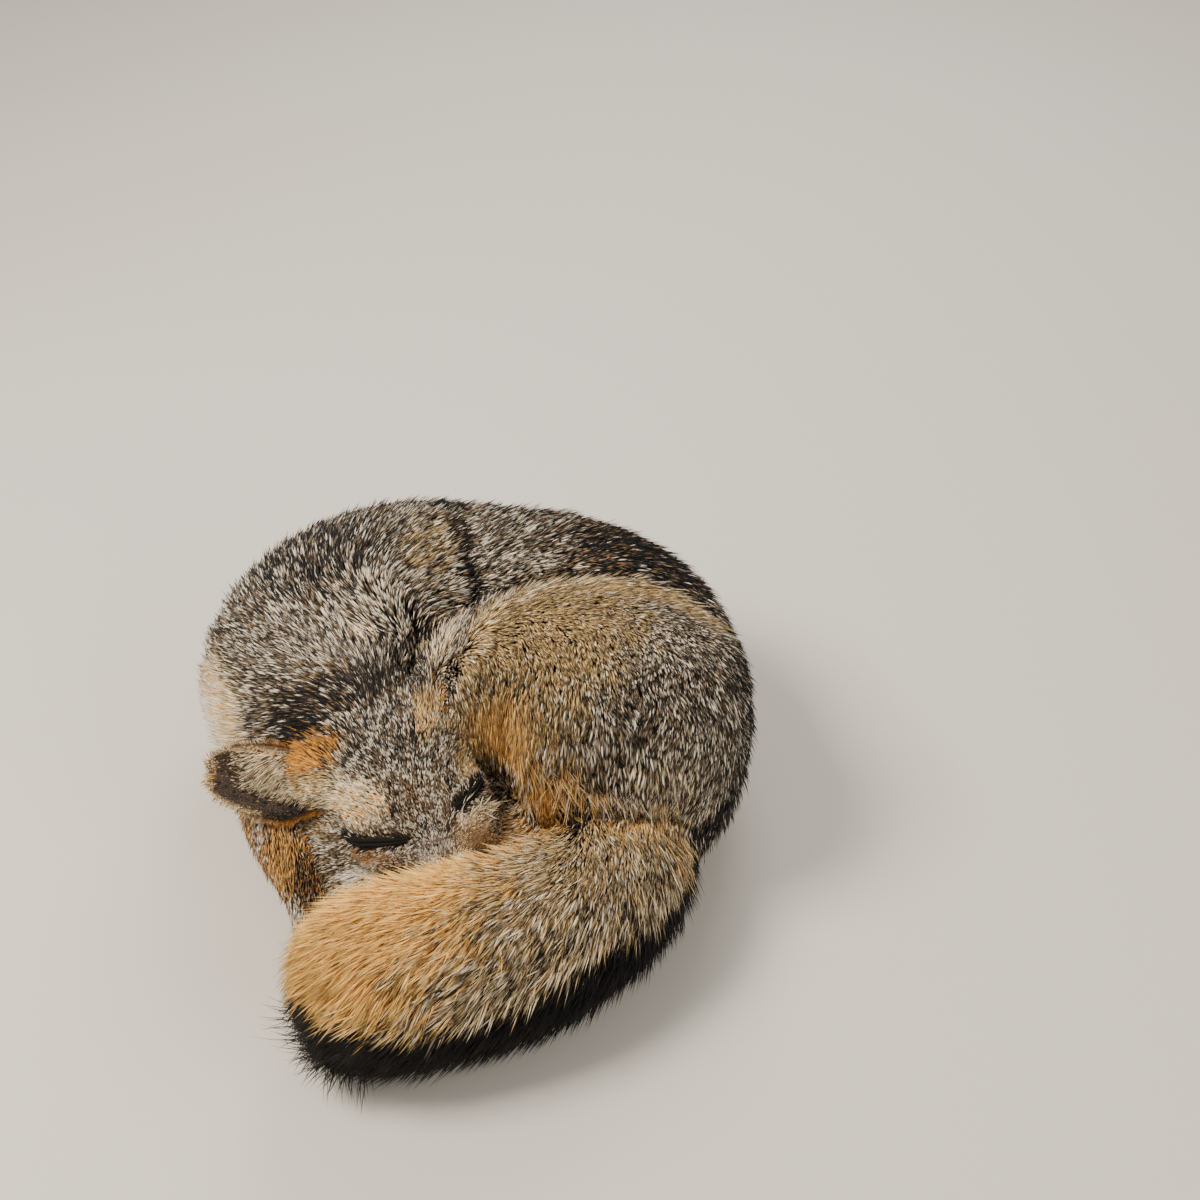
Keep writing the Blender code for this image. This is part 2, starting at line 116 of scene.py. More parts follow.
def area_light(name, place, aim, size, power, colour):
    """A square lamp of this size at place, turned towards aim."""
    lamp = bpy.data.lights.new(name, "AREA")
    lamp.size = size
    lamp.energy = power
    lamp.color = colour
    holder = bpy.data.objects.new(name, lamp)
    holder.location = place
    holder.rotation_euler = (Vector(aim) - Vector(place)).to_track_quat("-Z", "Y").to_euler()
    bpy.context.scene.collection.objects.link(holder)
    return holder


AIM = (0.0, 0.0, 0.06)  # the middle of the curl
area_light("key light", (-0.75, -0.15, 1.25), AIM, 0.55, 28.0, (1.0, 0.93, 0.83))
area_light("fill light", (1.1, -0.7, 0.8), AIM, 1.0, 10.0, (1.0, 0.96, 0.90))
area_light("back light", (0.3, 1.1, 1.1), AIM, 0.7, 11.0, (1.0, 0.97, 0.93))
world = bpy.data.worlds.new("pale room")
bpy.context.scene.world = world
world.use_nodes = True
sky = world.node_tree.nodes["Background"]
sky.inputs["Color"].default_value = (*srgb(236, 234, 230), 1.0)
sky.inputs["Strength"].default_value = 0.5

# %% [markdown]
# The floor is a wide, pale, matt sheet that takes the fox's soft shadow. It belongs to the stage and not to the
# model, so a grid with one plain finish is enough.

# %% Floor
FLOOR_HALF = 3.0
floor_form = bmesh.new()
bmesh.ops.create_grid(floor_form, x_segments=2, y_segments=2, size=FLOOR_HALF)
floor_mesh = bpy.data.meshes.new("floor")
floor_form.to_mesh(floor_mesh)
floor_form.free()
floor = bpy.data.objects.new("floor", floor_mesh)
bpy.context.scene.collection.objects.link(floor)
floor_finish = bpy.data.materials.new("pale floor")
floor_finish.use_nodes = True
floor_shader = floor_finish.node_tree.nodes["Principled BSDF"]
floor_shader.inputs["Base Color"].default_value = (*srgb(214, 208, 196), 1.0)
floor_shader.inputs["Roughness"].default_value = 0.8
floor_mesh.materials.append(floor_finish)
print("side of the floor, m:", 2 * FLOOR_HALF)

# %% [markdown]
# One closed form is made from all the nodes of flesh, so that no seam shows between them. A voxel remesh melts
# copies that overlap a little into a single surface of even squares, which is also a good ground to grow hair on:
# every square has nearly the same area. The nodes' own meshes are never touched, only copies of them.

# %% The form of the whole coat
FLESH = [
    "head", "neck", "chest", "loin", "rump", "tail_base", "tail_middle", "tail_tip",
    "foreleg_right", "foreleg_left", "hindleg_left_thigh", "hindleg_left_shank", "hindleg_left_foot",
    "hindleg_right_thigh", "hindleg_right_foot",
]
SQUARE = 0.0024  # side of the squares, in metres
SWELL = 0.0005  # how far each copy is swollen, so that it overlaps its neighbours


def link(name, mesh):
    """A new object of the scene that holds this mesh."""
    made = bpy.data.objects.new(name, mesh)
    bpy.context.scene.collection.objects.link(made)
    return made


def finished_mesh(obj):
    """The mesh that an object's modifiers give, with the object itself taken away."""
    graph = bpy.context.evaluated_depsgraph_get()
    mesh = bpy.data.meshes.new_from_object(obj.evaluated_get(graph))
    bpy.data.objects.remove(obj, do_unlink=True)
    return mesh


def melted_form(names, swell, square, rounds):
    """Copies of the nodes, swollen a little so that they overlap, as one closed mesh of squares."""
    whole = bmesh.new()
    for name in names:
        part = bmesh.new()
        part.from_mesh(bpy.data.objects[name].data)
        bmesh.ops.remove_doubles(part, verts=part.verts, dist=1e-5)
        part.normal_update()
        for vert in part.verts:
            vert.co += vert.normal * swell
        held = bpy.data.meshes.new("held")
        part.to_mesh(held)
        part.free()
        whole.from_mesh(held)
        bpy.data.meshes.remove(held)
    mesh = bpy.data.meshes.new("form")
    whole.to_mesh(mesh)
    whole.free()
    form = link("form", mesh)
    melt = form.modifiers.new("melt", "REMESH")
    melt.mode = "VOXEL"
    melt.voxel_size = square
    soften = form.modifiers.new("soften", "SMOOTH")
    soften.factor = 0.5
    soften.iterations = rounds
    return finished_mesh(form)


def arrays_of(mesh):
    """A mesh of squares as arrays: its points, their normals, and the four corners of each square."""
    points = np.empty(len(mesh.vertices) * 3)
    mesh.vertices.foreach_get("co", points)
    normals = np.empty(len(mesh.vertices) * 3)
    mesh.vertices.foreach_get("normal", normals)
    squares = np.array([tuple(p.vertices) for p in mesh.polygons if len(p.vertices) == 4])
    return points.reshape(-1, 3), normals.reshape(-1, 3), squares


def smooth(start, end, value):
    """0 before start, 1 after end, and an easy curve between; start may be the larger."""
    t = np.clip((value - start) / (end - start), 0.0, 1.0)
    return t * t * (3.0 - 2.0 * t)


form_mesh = melted_form(FLESH, SWELL, SQUARE, 4)
form_co, form_no, squares = arrays_of(form_mesh)
print("squares of", 1000 * SQUARE, "mm:", len(squares))

# %% [markdown]
# Two creases are then drawn sharper than the solids have them: the step where the haunch lies on the flank, with
# a small roll above it, and the fold behind the shoulder. Each is a push along the normals that fades with the
# distance from a line, so the squares stay even and nothing is cut.

# %% The creases of the haunch and the shoulder
HAUNCH_MIDDLE, HAUNCH_HALF = (0.078, -0.012), (0.0936, 0.0839)
SHOULDER_FOLD = ((-0.017, 0.120), (-0.003, 0.058))
ROLL_HEIGHT, STEP_DEPTH, FOLD_DEPTH = 0.0028, 0.0034, 0.0030


def haunch_reach(points):
    """How far a point lies from the middle of the haunch, seen from above: 1 on the haunch's upper edge."""
    return np.hypot(*((points[:, i] - HAUNCH_MIDDLE[i]) / HAUNCH_HALF[i] for i in (0, 1)))


def from_line(points, start, end):
    """Distance from a line seen from above."""
    start, way = np.array(start), np.array(end) - np.array(start)
    share = np.clip(((points[:, :2] - start) @ way) / (way @ way), 0, 1)
    return np.linalg.norm(points[:, :2] - start - share[:, None] * way, axis=1)


def bell(value, middle, width):
    """1 at the middle, falling away smoothly on both sides."""
    return np.exp(-(((value - middle) / width) ** 2))


reach = haunch_reach(form_co)
on_top = smooth(0.085, 0.105, form_co[:, 2]) * smooth(0.0, 0.3, form_no[:, 2]) * smooth(-0.005, 0.015, form_co[:, 1])
push = ROLL_HEIGHT * bell(reach, 0.92, 0.06) - STEP_DEPTH * bell(reach, 1.06, 0.04)
push -= FOLD_DEPTH * bell(from_line(form_co, *SHOULDER_FOLD), 0.0, 0.0045)
form_co += form_no * (push * on_top)[:, None]
form_mesh.vertices.foreach_set("co", form_co.astype(np.float32).ravel())
form_mesh.update()
form_co, form_no, squares = arrays_of(form_mesh)
print("the coat's form:", len(form_co), "points,", len(squares), "squares,", len(form_mesh.polygons), "faces")

# %% [markdown]
# Every later step asks where on the body a point is: which limb, how far along the spine or the tail, how far
# round. These measures are worked out once for each point of the form and kept as arrays. The first is the limb: the
# node whose own surface is nearest.

# %% Which part each point belongs to
def nearest_node(points, names):
    """For each point, the number in names of the node whose surface is nearest."""
    corners, faces, owner = [], [], []
    for number, name in enumerate(names):
        mesh = bpy.data.objects[name].data
        first = len(corners)
        corners.extend(v.co.copy() for v in mesh.vertices)
        faces.extend([first + i for i in p.vertices] for p in mesh.polygons)
        owner.extend([number] * len(mesh.polygons))
    tree = BVHTree.FromPolygons(corners, faces)
    return np.array([owner[tree.find_nearest(Vector(p))[2]] for p in points])


limb = nearest_node(form_co, FLESH)
is_part = {name: limb == number for number, name in enumerate(FLESH)}
on_trunk = is_part["neck"] | is_part["chest"] | is_part["loin"] | is_part["rump"]
on_tail = is_part["tail_base"] | is_part["tail_middle"] | is_part["tail_tip"]
print("points on the head, trunk, tail:", int(is_part["head"].sum()), int(on_trunk.sum()), int(on_tail.sum()))

# %% [markdown]
# The spine and the tail are smooth lines through a few points in the middle of the body. A curve object could hold
# them, but a line kept as an array answers for every point of the form at once: how far along, and which way it
# runs there.

# %% The lines of the spine and the tail
def unit(vectors):
    """The same directions with a length of 1."""
    return vectors / np.maximum(np.linalg.norm(vectors, axis=-1, keepdims=True), 1e-9)


class BodyLine:
    """A smooth line through the middle of a limb, in small steps, from its start to its end."""

    def __init__(self, stations, steps=240):
        stations = np.array(stations)
        spans = len(stations) - 1
        place = np.linspace(0, spans, steps)
        i = np.minimum(place.astype(int), spans - 1)
        u = (place - i)[:, None]
        padded = np.vstack([2 * stations[0] - stations[1], stations, 2 * stations[-1] - stations[-2]])
        a, b, c, d = (padded[i + k] for k in range(4))
        self.points = 0.5 * (2 * b + (c - a) * u + (2 * a - 5 * b + 4 * c - d) * u**2 + (3 * b - a - 3 * c + d) * u**3)
        self.along = unit(np.gradient(self.points, axis=0))
        run = np.r_[0, np.cumsum(np.linalg.norm(np.diff(self.points, axis=0), axis=1))]
        self.part = run / run[-1]

    def measure(self, points):
        """For each point: the nearest step of the line, and how far along that is, from 0 to 1."""
        nearest = np.concatenate([
            np.argmin(((block[:, None, :] - self.points[None]) ** 2).sum(2), axis=1)
            for block in np.array_split(points, max(1, len(points) // 4000))
        ])
        return nearest, self.part[nearest]


SPINE = BodyLine([
    (-0.049, -0.009, 0.070), (-0.068, 0.017, 0.069), (-0.088, 0.043, 0.069), (-0.094, 0.071, 0.070),
    (-0.076, 0.100, 0.071), (-0.039, 0.113, 0.073), (0.004, 0.111, 0.072), (0.044, 0.104, 0.071),
    (0.076, 0.086, 0.070), (0.095, 0.055, 0.068), (0.097, 0.014, 0.063), (0.091, -0.021, 0.056),
    (0.082, -0.046, 0.052),
])
TAIL = BodyLine([
    (0.094, -0.016, 0.052), (0.091, -0.031, 0.051), (0.083, -0.056, 0.049), (0.068, -0.083, 0.047),
    (0.044, -0.104, 0.047), (0.014, -0.118, 0.047), (-0.016, -0.126, 0.047), (-0.040, -0.131, 0.046),
    (-0.058, -0.132, 0.044), (-0.072, -0.131, 0.040), (-0.081, -0.130, 0.035),
])
print("steps along the spine and along the tail:", len(SPINE.points), len(TAIL.points))

# %% [markdown]
# On the trunk and the tail a point is placed by how far along and how far round it is. On the head it is placed by
# the head's own three directions, which are turned to match the way that the fox rests it.

# %% Each point's measures
CURL_CENTRE = np.array([0.001, 0.019, 0.0])

HEAD_AHEAD = np.array([0.371, -0.865, -0.337])
HEAD_AHEAD /= np.linalg.norm(HEAD_AHEAD)
HEAD_RIGHT = np.array([-0.92, -0.29, -0.27])
HEAD_RIGHT /= np.linalg.norm(HEAD_RIGHT)
HEAD_UP = np.cross(HEAD_RIGHT, HEAD_AHEAD)
HEAD_UP /= np.linalg.norm(HEAD_UP)
BETWEEN_EYES = np.array([-0.0269, -0.0504, 0.0750])


def measures(points):
    """Everything that the lie, the length and the colour of the coat are worked out from."""
    found = {"point": points}
    level_out = points - CURL_CENTRE
    level_out[:, 2] = 0.0
    found["outward"] = unit(level_out)
    step, found["down_spine"] = SPINE.measure(points)
    found["spine_along"] = SPINE.along[step]
    off = points - SPINE.points[step]
    found["spine_round"] = np.degrees(np.arctan2(off[:, 2], (off * found["outward"]).sum(1)))
    step, found["down_tail"] = TAIL.measure(points)
    found["tail_along"] = TAIL.along[step]
    side = unit(np.cross(np.broadcast_to([0.0, 0.0, 1.0], points.shape), TAIL.along[step]))
    side *= np.sign((side * found["outward"]).sum(1))[:, None]
    found["tail_side"] = side
    off = points - TAIL.points[step]
    found["tail_round"] = np.degrees(np.arctan2(off[:, 2], (off * side).sum(1)))
    from_eyes = points - BETWEEN_EYES
    found["head_ahead"] = from_eyes @ HEAD_AHEAD
    found["head_right"] = from_eyes @ HEAD_RIGHT
    found["head_up"] = from_eyes @ HEAD_UP
    return found


body = measures(form_co)
print("measures of each point:", ", ".join(body))

# %% [markdown]
# Hair lies from the nose back over the head, down the spine to the tail, and along each leg to the toes.
# On the neck and ribs it also fans outward, and on the haunch it turns from the flank round to the hock, so a few
# strokes of a comb say which way it lies there. Passing each direction on to its neighbours blends the limbs.

# %% The lie of the coat
edges = np.unique(np.sort(np.vstack([squares[:, [i, (i + 1) % 4]] for i in range(4)]), axis=1), axis=0)
neighbours = np.bincount(edges.ravel(), minlength=len(form_co))


def spread(field, rounds, share=0.6):
    """Evens out a field by giving each point part of its neighbours' average, again and again."""
    field = field.reshape(len(form_co), -1).astype(float)
    for _ in range(rounds):
        total = np.empty_like(field)
        for k in range(field.shape[1]):
            total[:, k] = np.bincount(edges[:, 0], field[edges[:, 1], k], len(field))
            total[:, k] += np.bincount(edges[:, 1], field[edges[:, 0], k], len(field))
        field = field * (1 - share) + share * total / np.maximum(neighbours, 1)[:, None]
    return field.squeeze()


def flat_on(vectors, normals):
    """The part of each vector that lies in the surface."""
    return vectors - normals * (vectors * normals).sum(1, keepdims=True)


LEG_LIE = {
    "foreleg_right": (0.15, -0.98, -0.25), "foreleg_left": (-0.25, -0.95, -0.20),
    "hindleg_left_shank": (0.80, -0.50, -0.20), "hindleg_left_foot": (-1.0, -0.20, -0.25),
    "hindleg_right_thigh": (-1.0, 0.15, -0.10), "hindleg_right_foot": (-1.0, -0.25, 0.0),
}
HAUNCH_STROKES = [  # where the comb is set down, and which way it is drawn
    ((-0.02, 0.03, 0.11), (0.70, 0.70, 0.15)),
    ((0.02, 0.06, 0.13), (0.80, 0.60, 0.10)),
    ((0.08, 0.085, 0.13), (1.00, 0.10, 0.00)),
    ((0.12, 0.06, 0.13), (0.80, -0.60, 0.00)),
    ((0.145, 0.02, 0.10), (0.25, -1.00, -0.20)),
    ((0.06, 0.04, 0.157), (0.50, -0.80, 0.00)),
    ((0.02, 0.025, 0.145), (0.50, -0.45, 0.00)),
    ((0.10, 0.00, 0.15), (0.20, -1.00, -0.10)),
    ((0.05, -0.02, 0.14), (0.10, -1.00, -0.20)),
    ((0.00, -0.01, 0.12), (-0.30, -0.90, -0.40)),
    ((0.03, -0.04, 0.11), (-0.25, -0.90, -0.60)),
    ((0.08, -0.055, 0.11), (-0.10, -0.90, -0.70)),
    ((0.13, -0.04, 0.10), (-0.15, -1.00, -0.40)),
]
print("edges between the squares' corners:", len(edges))

# %% [markdown]
# Each part is combed in its own way first, with hard changes where one part meets the next. The field is then
# evened out, so the hair flows from part to part, and laid flat on the form again. A lie could be painted by hand
# with a comb brush, but a few directions and strokes are easier to change and give the same coat in every run.

# %% Combing each part
lie = np.zeros_like(form_co)
fan = smooth(0.45, 0.05, body["down_spine"]) * 0.45 + 0.45  # how far the hair of the trunk turns outward
lie[on_trunk] = (body["spine_along"] + body["outward"] * fan[:, None] - [0, 0, 0.15])[on_trunk]
lie[on_tail] = (body["tail_along"] + body["tail_side"] * 0.55 - [0, 0, 0.30])[on_tail]

sideways = body["head_right"] / 0.03
low_cheek = smooth(0.018, 0.045, np.abs(body["head_right"])) * smooth(0.0, -0.022, body["head_up"])
head_lie = -HEAD_AHEAD * (1 - 0.75 * low_cheek)[:, None]
head_lie = head_lie + HEAD_RIGHT * (np.clip(sideways, -1.3, 1.3) * (0.35 + 0.55 * low_cheek))[:, None]
head_lie = head_lie - HEAD_UP * (0.35 * low_cheek)[:, None]
lie[is_part["head"]] = head_lie[is_part["head"]]
for name, direction in LEG_LIE.items():
    lie[is_part[name]] = direction

STROKE_WIDTH, EAR_ROOT_WIDTH = 0.028, 0.011


def nearness(place, width):
    """1 at a place, falling away smoothly around it."""
    return np.exp(-((form_co - place) ** 2).sum(1) / (2 * width**2))


haunch_lie = np.zeros_like(lie)
for place, stroke in HAUNCH_STROKES:
    haunch_lie += (nearness(place, STROKE_WIDTH) + 1e-6)[:, None] * np.array(stroke)
of_haunch = is_part["hindleg_left_thigh"] | (on_trunk & (reach < 1.0) & (form_co[:, 2] > 0.09))
lie[of_haunch] = haunch_lie[of_haunch]
ear_root = nearness([-0.089, -0.031, 0.087], EAR_ROOT_WIDTH) * is_part["head"]
lie = lie * (1 - ear_root)[:, None] + np.array([-0.9, -0.3, -0.1]) * ear_root[:, None]

lie = unit(flat_on(spread(unit(flat_on(lie, form_no)), 14), form_no))
print("directions set for", len(lie), "points")

# %% [markdown]
# The skin lies under the tips of the hair by the depth of the coat: a centimetre in the brush of the tail, a
# millimetre or two on the face and the feet. Depth and the length of the tufts together set how steeply they rise.

# %% Depth and length of the coat, in metres
MM = 0.001
COAT = {  # how deep the coat is and how long its tufts are, in mm
    "head": (3.2, 8.0), "neck": (7.0, 16.0), "chest": (7.0, 16.0), "loin": (6.5, 15.0), "rump": (7.0, 16.0),
    "tail_base": (8.0, 19.0), "tail_middle": (9.5, 23.0), "tail_tip": (9.5, 24.0),
    "foreleg_right": (3.0, 9.0), "foreleg_left": (2.0, 6.0), "hindleg_left_thigh": (6.5, 14.5),
    "hindleg_left_shank": (3.0, 8.0), "hindleg_left_foot": (2.0, 6.0), "hindleg_right_thigh": (4.0, 10.0),
    "hindleg_right_foot": (2.0, 5.0),
}
depth, length = (np.array([COAT[name] for name in FLESH])[limb] * MM).T

on_head = is_part["head"]
muzzle = smooth(0.004, 0.022, body["head_ahead"])
round_eyes = smooth(-0.022, -0.004, body["head_ahead"]) * smooth(0.045, 0.030, np.abs(body["head_right"]))
ruff = smooth(0.026, 0.046, np.abs(body["head_right"])) * smooth(-0.008, -0.026, body["head_up"])
crown = smooth(-0.035, -0.075, body["head_ahead"])
head_length = (7.0 - 2.0 * round_eyes - 2.0 * muzzle + 6.0 * ruff + 4.0 * crown) * MM
head_depth = (3.2 - 1.2 * round_eyes - 0.6 * muzzle + 1.8 * ruff + 2.0 * crown) * MM
length[on_head] = head_length[on_head]
depth[on_head] = head_depth[on_head]
length += 5.0 * MM * ear_root
depth += 1.5 * MM * ear_root
fringe = is_part["hindleg_left_thigh"] * smooth(-0.030, -0.050, form_co[:, 1]) * smooth(0.110, 0.085, form_co[:, 0])
length += 6.0 * MM * fringe
length += 3.0 * MM * (bell(reach, 0.93, 0.07) * on_top)
depth, length = spread(depth, 10), spread(length, 10)
print("coat depth, mm:", round(depth.min() / MM, 1), "to", round(depth.max() / MM, 1))

# %% [markdown]
# The colours of the coat come in zones. A gray fox is grizzled: each guard hair is dark at the root, has a
# cream band, and ends in black. Round the ears, neck, belly and legs it is rufous, and a black stripe runs down
# the tail. Each zone is a soft-edged patch on the body, and skin and hair both read the same patches.

# %% Zones of colour
COLOURS = [  # laid over each other in this order
    "ochre", "cream", "tawny", "rufous", "gold", "brown", "dark", "white", "black",
]
PATCHES = [  # colour, middle, half sizes, strength
    ("rufous", (-0.083, -0.022, 0.099), (0.019, 0.010, 0.014), 0.92),  # behind the right ear
    ("black", (-0.089, -0.010, 0.105), (0.018, 0.005, 0.010), 0.85),
    ("ochre", (-0.084, -0.034, 0.090), (0.014, 0.009, 0.012), 0.85),
    ("cream", (-0.091, -0.040, 0.084), (0.012, 0.008, 0.010), 0.45),
    ("dark", (-0.073, -0.024, 0.096), (0.004, 0.010, 0.008), 0.6),
    ("gold", (-0.108, -0.044, 0.046), (0.016, 0.026, 0.014), 0.90),  # throat and neck below the ear
    ("white", (-0.123, -0.022, 0.050), (0.006, 0.010, 0.010), 0.7),
    ("dark", (-0.093, -0.058, 0.044), (0.011, 0.022, 0.016), 0.80),  # long hairs of the cheek
    ("ochre", (-0.088, -0.040, 0.068), (0.014, 0.016, 0.014), 0.6),
    ("white", (-0.064, -0.066, 0.048), (0.012, 0.004, 0.005), 0.85),  # upper lip
    ("black", (-0.048, -0.022, 0.106), (0.036, 0.026, 0.016), 0.36),  # crown
    ("white", (-0.100, -0.069, 0.026), (0.009, 0.010, 0.010), 0.80),  # the paw under the chin
    ("black", (-0.027, -0.068, 0.077), (0.003, 0.006, 0.006), 0.60),  # inner corner of the right eye
    ("white", (-0.078, -0.066, 0.039), (0.008, 0.005, 0.004), 0.6),
    ("dark", (-0.080, -0.060, 0.052), (0.010, 0.008, 0.008), 0.6),
    ("black", (-0.080, -0.072, 0.034), (0.012, 0.004, 0.004), 0.8),  # line of the mouth
    ("black", (-0.0385, -0.052, 0.088), (0.0028, 0.012, 0.010), 0.65),  # inner brow
    ("black", (-0.008, -0.044, 0.093), (0.0035, 0.008, 0.008), 0.55),
    ("cream", (-0.062, -0.047, 0.084), (0.026, 0.013, 0.014), 0.62),  # over the right eye
    ("tawny", (-0.060, -0.050, 0.082), (0.024, 0.010, 0.011), 0.26),
    ("brown", (-0.056, -0.065, 0.064), (0.024, 0.007, 0.008), 0.75),  # under the right eye
    ("white", (-0.020, -0.068, 0.073), (0.010, 0.009, 0.010), 0.50),
    ("black", (-0.020, -0.066, 0.077), (0.014, 0.010, 0.010), 0.25),  # side of the muzzle
    ("cream", (0.002, -0.060, 0.066), (0.012, 0.014, 0.016), 0.90),
    ("tawny", (0.004, -0.060, 0.060), (0.010, 0.014, 0.016), 0.25),
    ("ochre", (-0.022, -0.011, 0.110), (0.008, 0.018, 0.012), 0.75),
    ("gold", (-0.022, -0.011, 0.110), (0.006, 0.016, 0.012), 0.30),  # root of the left ear
    ("ochre", (0.000, -0.023, 0.090), (0.010, 0.014, 0.012), 0.8),
    ("dark", (-0.030, -0.052, 0.090), (0.020, 0.012, 0.010), 0.35),  # between the eyes
    ("cream", (-0.146, 0.012, 0.080), (0.032, 0.036, 0.045), 1.00),  # pale side of the neck
    ("white", (-0.154, 0.012, 0.080), (0.022, 0.028, 0.040), 0.60),
    ("tawny", (-0.150, 0.014, 0.082), (0.028, 0.032, 0.042), 0.38),
    ("black", (-0.063, 0.001, 0.118), (0.019, 0.010, 0.014), 0.62),  # dark patches of the mane
    ("black", (-0.041, 0.013, 0.116), (0.019, 0.011, 0.014), 0.62),
    ("black", (-0.083, -0.004, 0.111), (0.020, 0.008, 0.014), 0.62),
    ("dark", (-0.063, 0.004, 0.114), (0.042, 0.012, 0.016), 0.42),
    ("black", (-0.034, 0.045, 0.114), (0.016, 0.022, 0.018), 0.38),
    ("black", (-0.092, 0.086, 0.140), (0.042, 0.040, 0.032), 0.48),
    ("black", (0.100, 0.108, 0.130), (0.060, 0.032, 0.034), 0.74),
    ("dark", (0.100, 0.106, 0.130), (0.064, 0.036, 0.036), 0.66),
    ("black", (0.030, 0.130, 0.140), (0.030, 0.030, 0.030), 0.25),
    ("cream", (-0.052, 0.040, 0.122), (0.012, 0.004, 0.010), 0.65),
    ("cream", (-0.020, 0.040, 0.122), (0.008, 0.022, 0.012), 0.70),
    ("black", (-0.083, 0.096, 0.146), (0.018, 0.012, 0.012), 0.45),
    ("black", (-0.022, 0.140, 0.138), (0.012, 0.020, 0.014), 0.6),
    ("ochre", (-0.030, 0.095, 0.150), (0.016, 0.030, 0.020), 0.40),  # over the shoulder
    ("ochre", (0.010, -0.008, 0.120), (0.026, 0.024, 0.030), 0.80),
    ("ochre", (0.045, 0.020, 0.148), (0.050, 0.042, 0.030), 0.80),
    ("ochre", (0.040, -0.020, 0.138), (0.028, 0.026, 0.026), 0.60),
    ("gold", (0.020, -0.018, 0.118), (0.022, 0.020, 0.022), 0.92),
    ("gold", (0.046, -0.046, 0.096), (0.036, 0.018, 0.026), 0.74),
    ("gold", (0.088, -0.060, 0.090), (0.026, 0.012, 0.014), 0.55),
    ("gold", (0.118, -0.066, 0.070), (0.012, 0.012, 0.018), 0.50),
    ("black", (0.156, 0.018, 0.088), (0.024, 0.062, 0.062), 0.50),
    ("black", (0.108, -0.026, 0.146), (0.026, 0.024, 0.022), 0.22),
    ("cream", (0.104, -0.057, 0.110), (0.030, 0.016, 0.018), 0.28),
    # Painted shade: the next two patches darken the fold between the haunch and the tail.
    ("dark", (0.040, -0.057, 0.088), (0.022, 0.008, 0.009), 0.75),  # the fold between the haunch and the tail
    ("black", (0.054, -0.056, 0.092), (0.015, 0.009, 0.012), 0.72),
]
print("patches of colour:", len(PATCHES))

# %% [markdown]
# The rest of the markings follow the body's own measures: a darker band along the spine, rufous on the belly and
# the legs, the shade in the creases, and on the brush a black stripe that ends in a black tip, with tawny hair on
# its inner side. The stripe's edge is a short table, because it wanders as it goes down the tail.

# %% Markings that follow the body
STRIPE_EDGE = [  # how far down the tail, and how far round it the black stripe reaches there, in degrees
    (0.0, 0.10, 0.34, 0.41, 0.48, 0.55, 0.67, 0.82, 0.89, 0.92, 1.0),
    (-5, 8, 26, 32, 28, 20, 18, 25, 40, 55, 75),
]


def patch(points, middle, half, soft=0.45):
    """1 inside a rounded patch, 0 well outside it."""
    reach = np.linalg.norm((points - np.array(middle)) / np.array(half), axis=1)
    return smooth(1 + soft, 1 - soft, reach)


def zones(found, part_of):
    """How strongly each colour shows at each point: one column for each name in COLOURS."""
    points = found["point"]
    shade = {name: np.zeros(len(points)) for name in COLOURS}

    def lay(name, amount):
        shade[name] = np.maximum(shade[name], amount)

    for name, middle, half, strength in PATCHES:
        lay(name, strength * patch(points, middle, half))
    trunk = part_of("neck", "chest", "loin", "rump")
    tail = part_of("tail_base", "tail_middle", "tail_tip")
    legs = part_of("foreleg_right", "foreleg_left", "hindleg_right_thigh", "hindleg_right_foot")

    left_hock = part_of("hindleg_left_foot", "hindleg_left_shank")
    round_spine = np.abs(found["spine_round"])
    dorsal = 0.40 * smooth(84, 50, round_spine) + 0.28 * smooth(40, 12, round_spine)
    lay("black", dorsal * smooth(0.18, 0.40, found["down_spine"]) * trunk)
    belly = smooth(128, 165, round_spine)
    lay("rufous", 0.8 * belly * trunk)
    lay("rufous", 0.42 * legs)
    # The left hind foot is tan; cream is laid over it at full strength as painted light, to lift it out of the shade of
    # the hollow it lies in.
    lay("tawny", 0.48 * left_hock)
    lay("cream", 1.00 * left_hock)

    out, high = haunch_reach(points), smooth(0.080, 0.100, points[:, 2]) * smooth(-0.005, 0.015, points[:, 1])
    crest = smooth(0.62, 0.80, out) * smooth(1.01, 0.99, out) * high
    lay("ochre", 0.85 * crest * (trunk + part_of("hindleg_left_thigh")) * smooth(0.145, 0.115, points[:, 0]))
    lay("cream", 0.45 * smooth(0.84, 0.95, out) * crest)
    # Painted shade: dark and black hair in the step where the haunch lies on the flank, and in the fold behind the
    # shoulder.
    behind = smooth(0.99, 1.02, out) * smooth(1.30, 1.10, out) * high * trunk
    fold = smooth(0.006, 0.002, from_line(points, *SHOULDER_FOLD)) * high
    lay("dark", 0.50 * np.maximum(behind, fold))
    lay("black", 0.75 * np.maximum(smooth(1.20, 1.04, out) * behind, fold))

    down, turn = found["down_tail"], found["tail_round"]
    turn_up = np.where(turn < -110, turn + 360, turn)
    upper = np.interp(down, STRIPE_EDGE[0], STRIPE_EDGE[1])
    stripe = smooth(upper + 4, upper - 4, turn_up) * smooth(-92, -84, turn_up) * smooth(0.02, 0.12, down)
    lay("black", stripe * tail)
    inner = smooth(0.49, 0.86, down + 0.0030 * (turn_up - 62))
    lay("tawny", 0.95 * inner * tail)
    lay("tawny", 0.70 * smooth(115, 150, turn_up) * tail)
    lay("ochre", 0.58 * tail)
    lay("black", 0.14 * smooth(75, 45, turn_up) * smooth(1.0, 0.75, down) * tail)
    lay("cream", 0.20 * tail)
    band = smooth(18, 8, np.abs(turn_up - upper - 12)) * smooth(1.0, 0.80, down)
    lay("cream", (0.62 - 0.16 * smooth(0.4, 0.6, down)) * band * tail)
    lay("black", 0.24 * smooth(50, 20, np.abs(turn_up - upper)) * smooth(0.95, 0.75, down) * tail)
    return np.stack([shade[name] for name in COLOURS], axis=1)


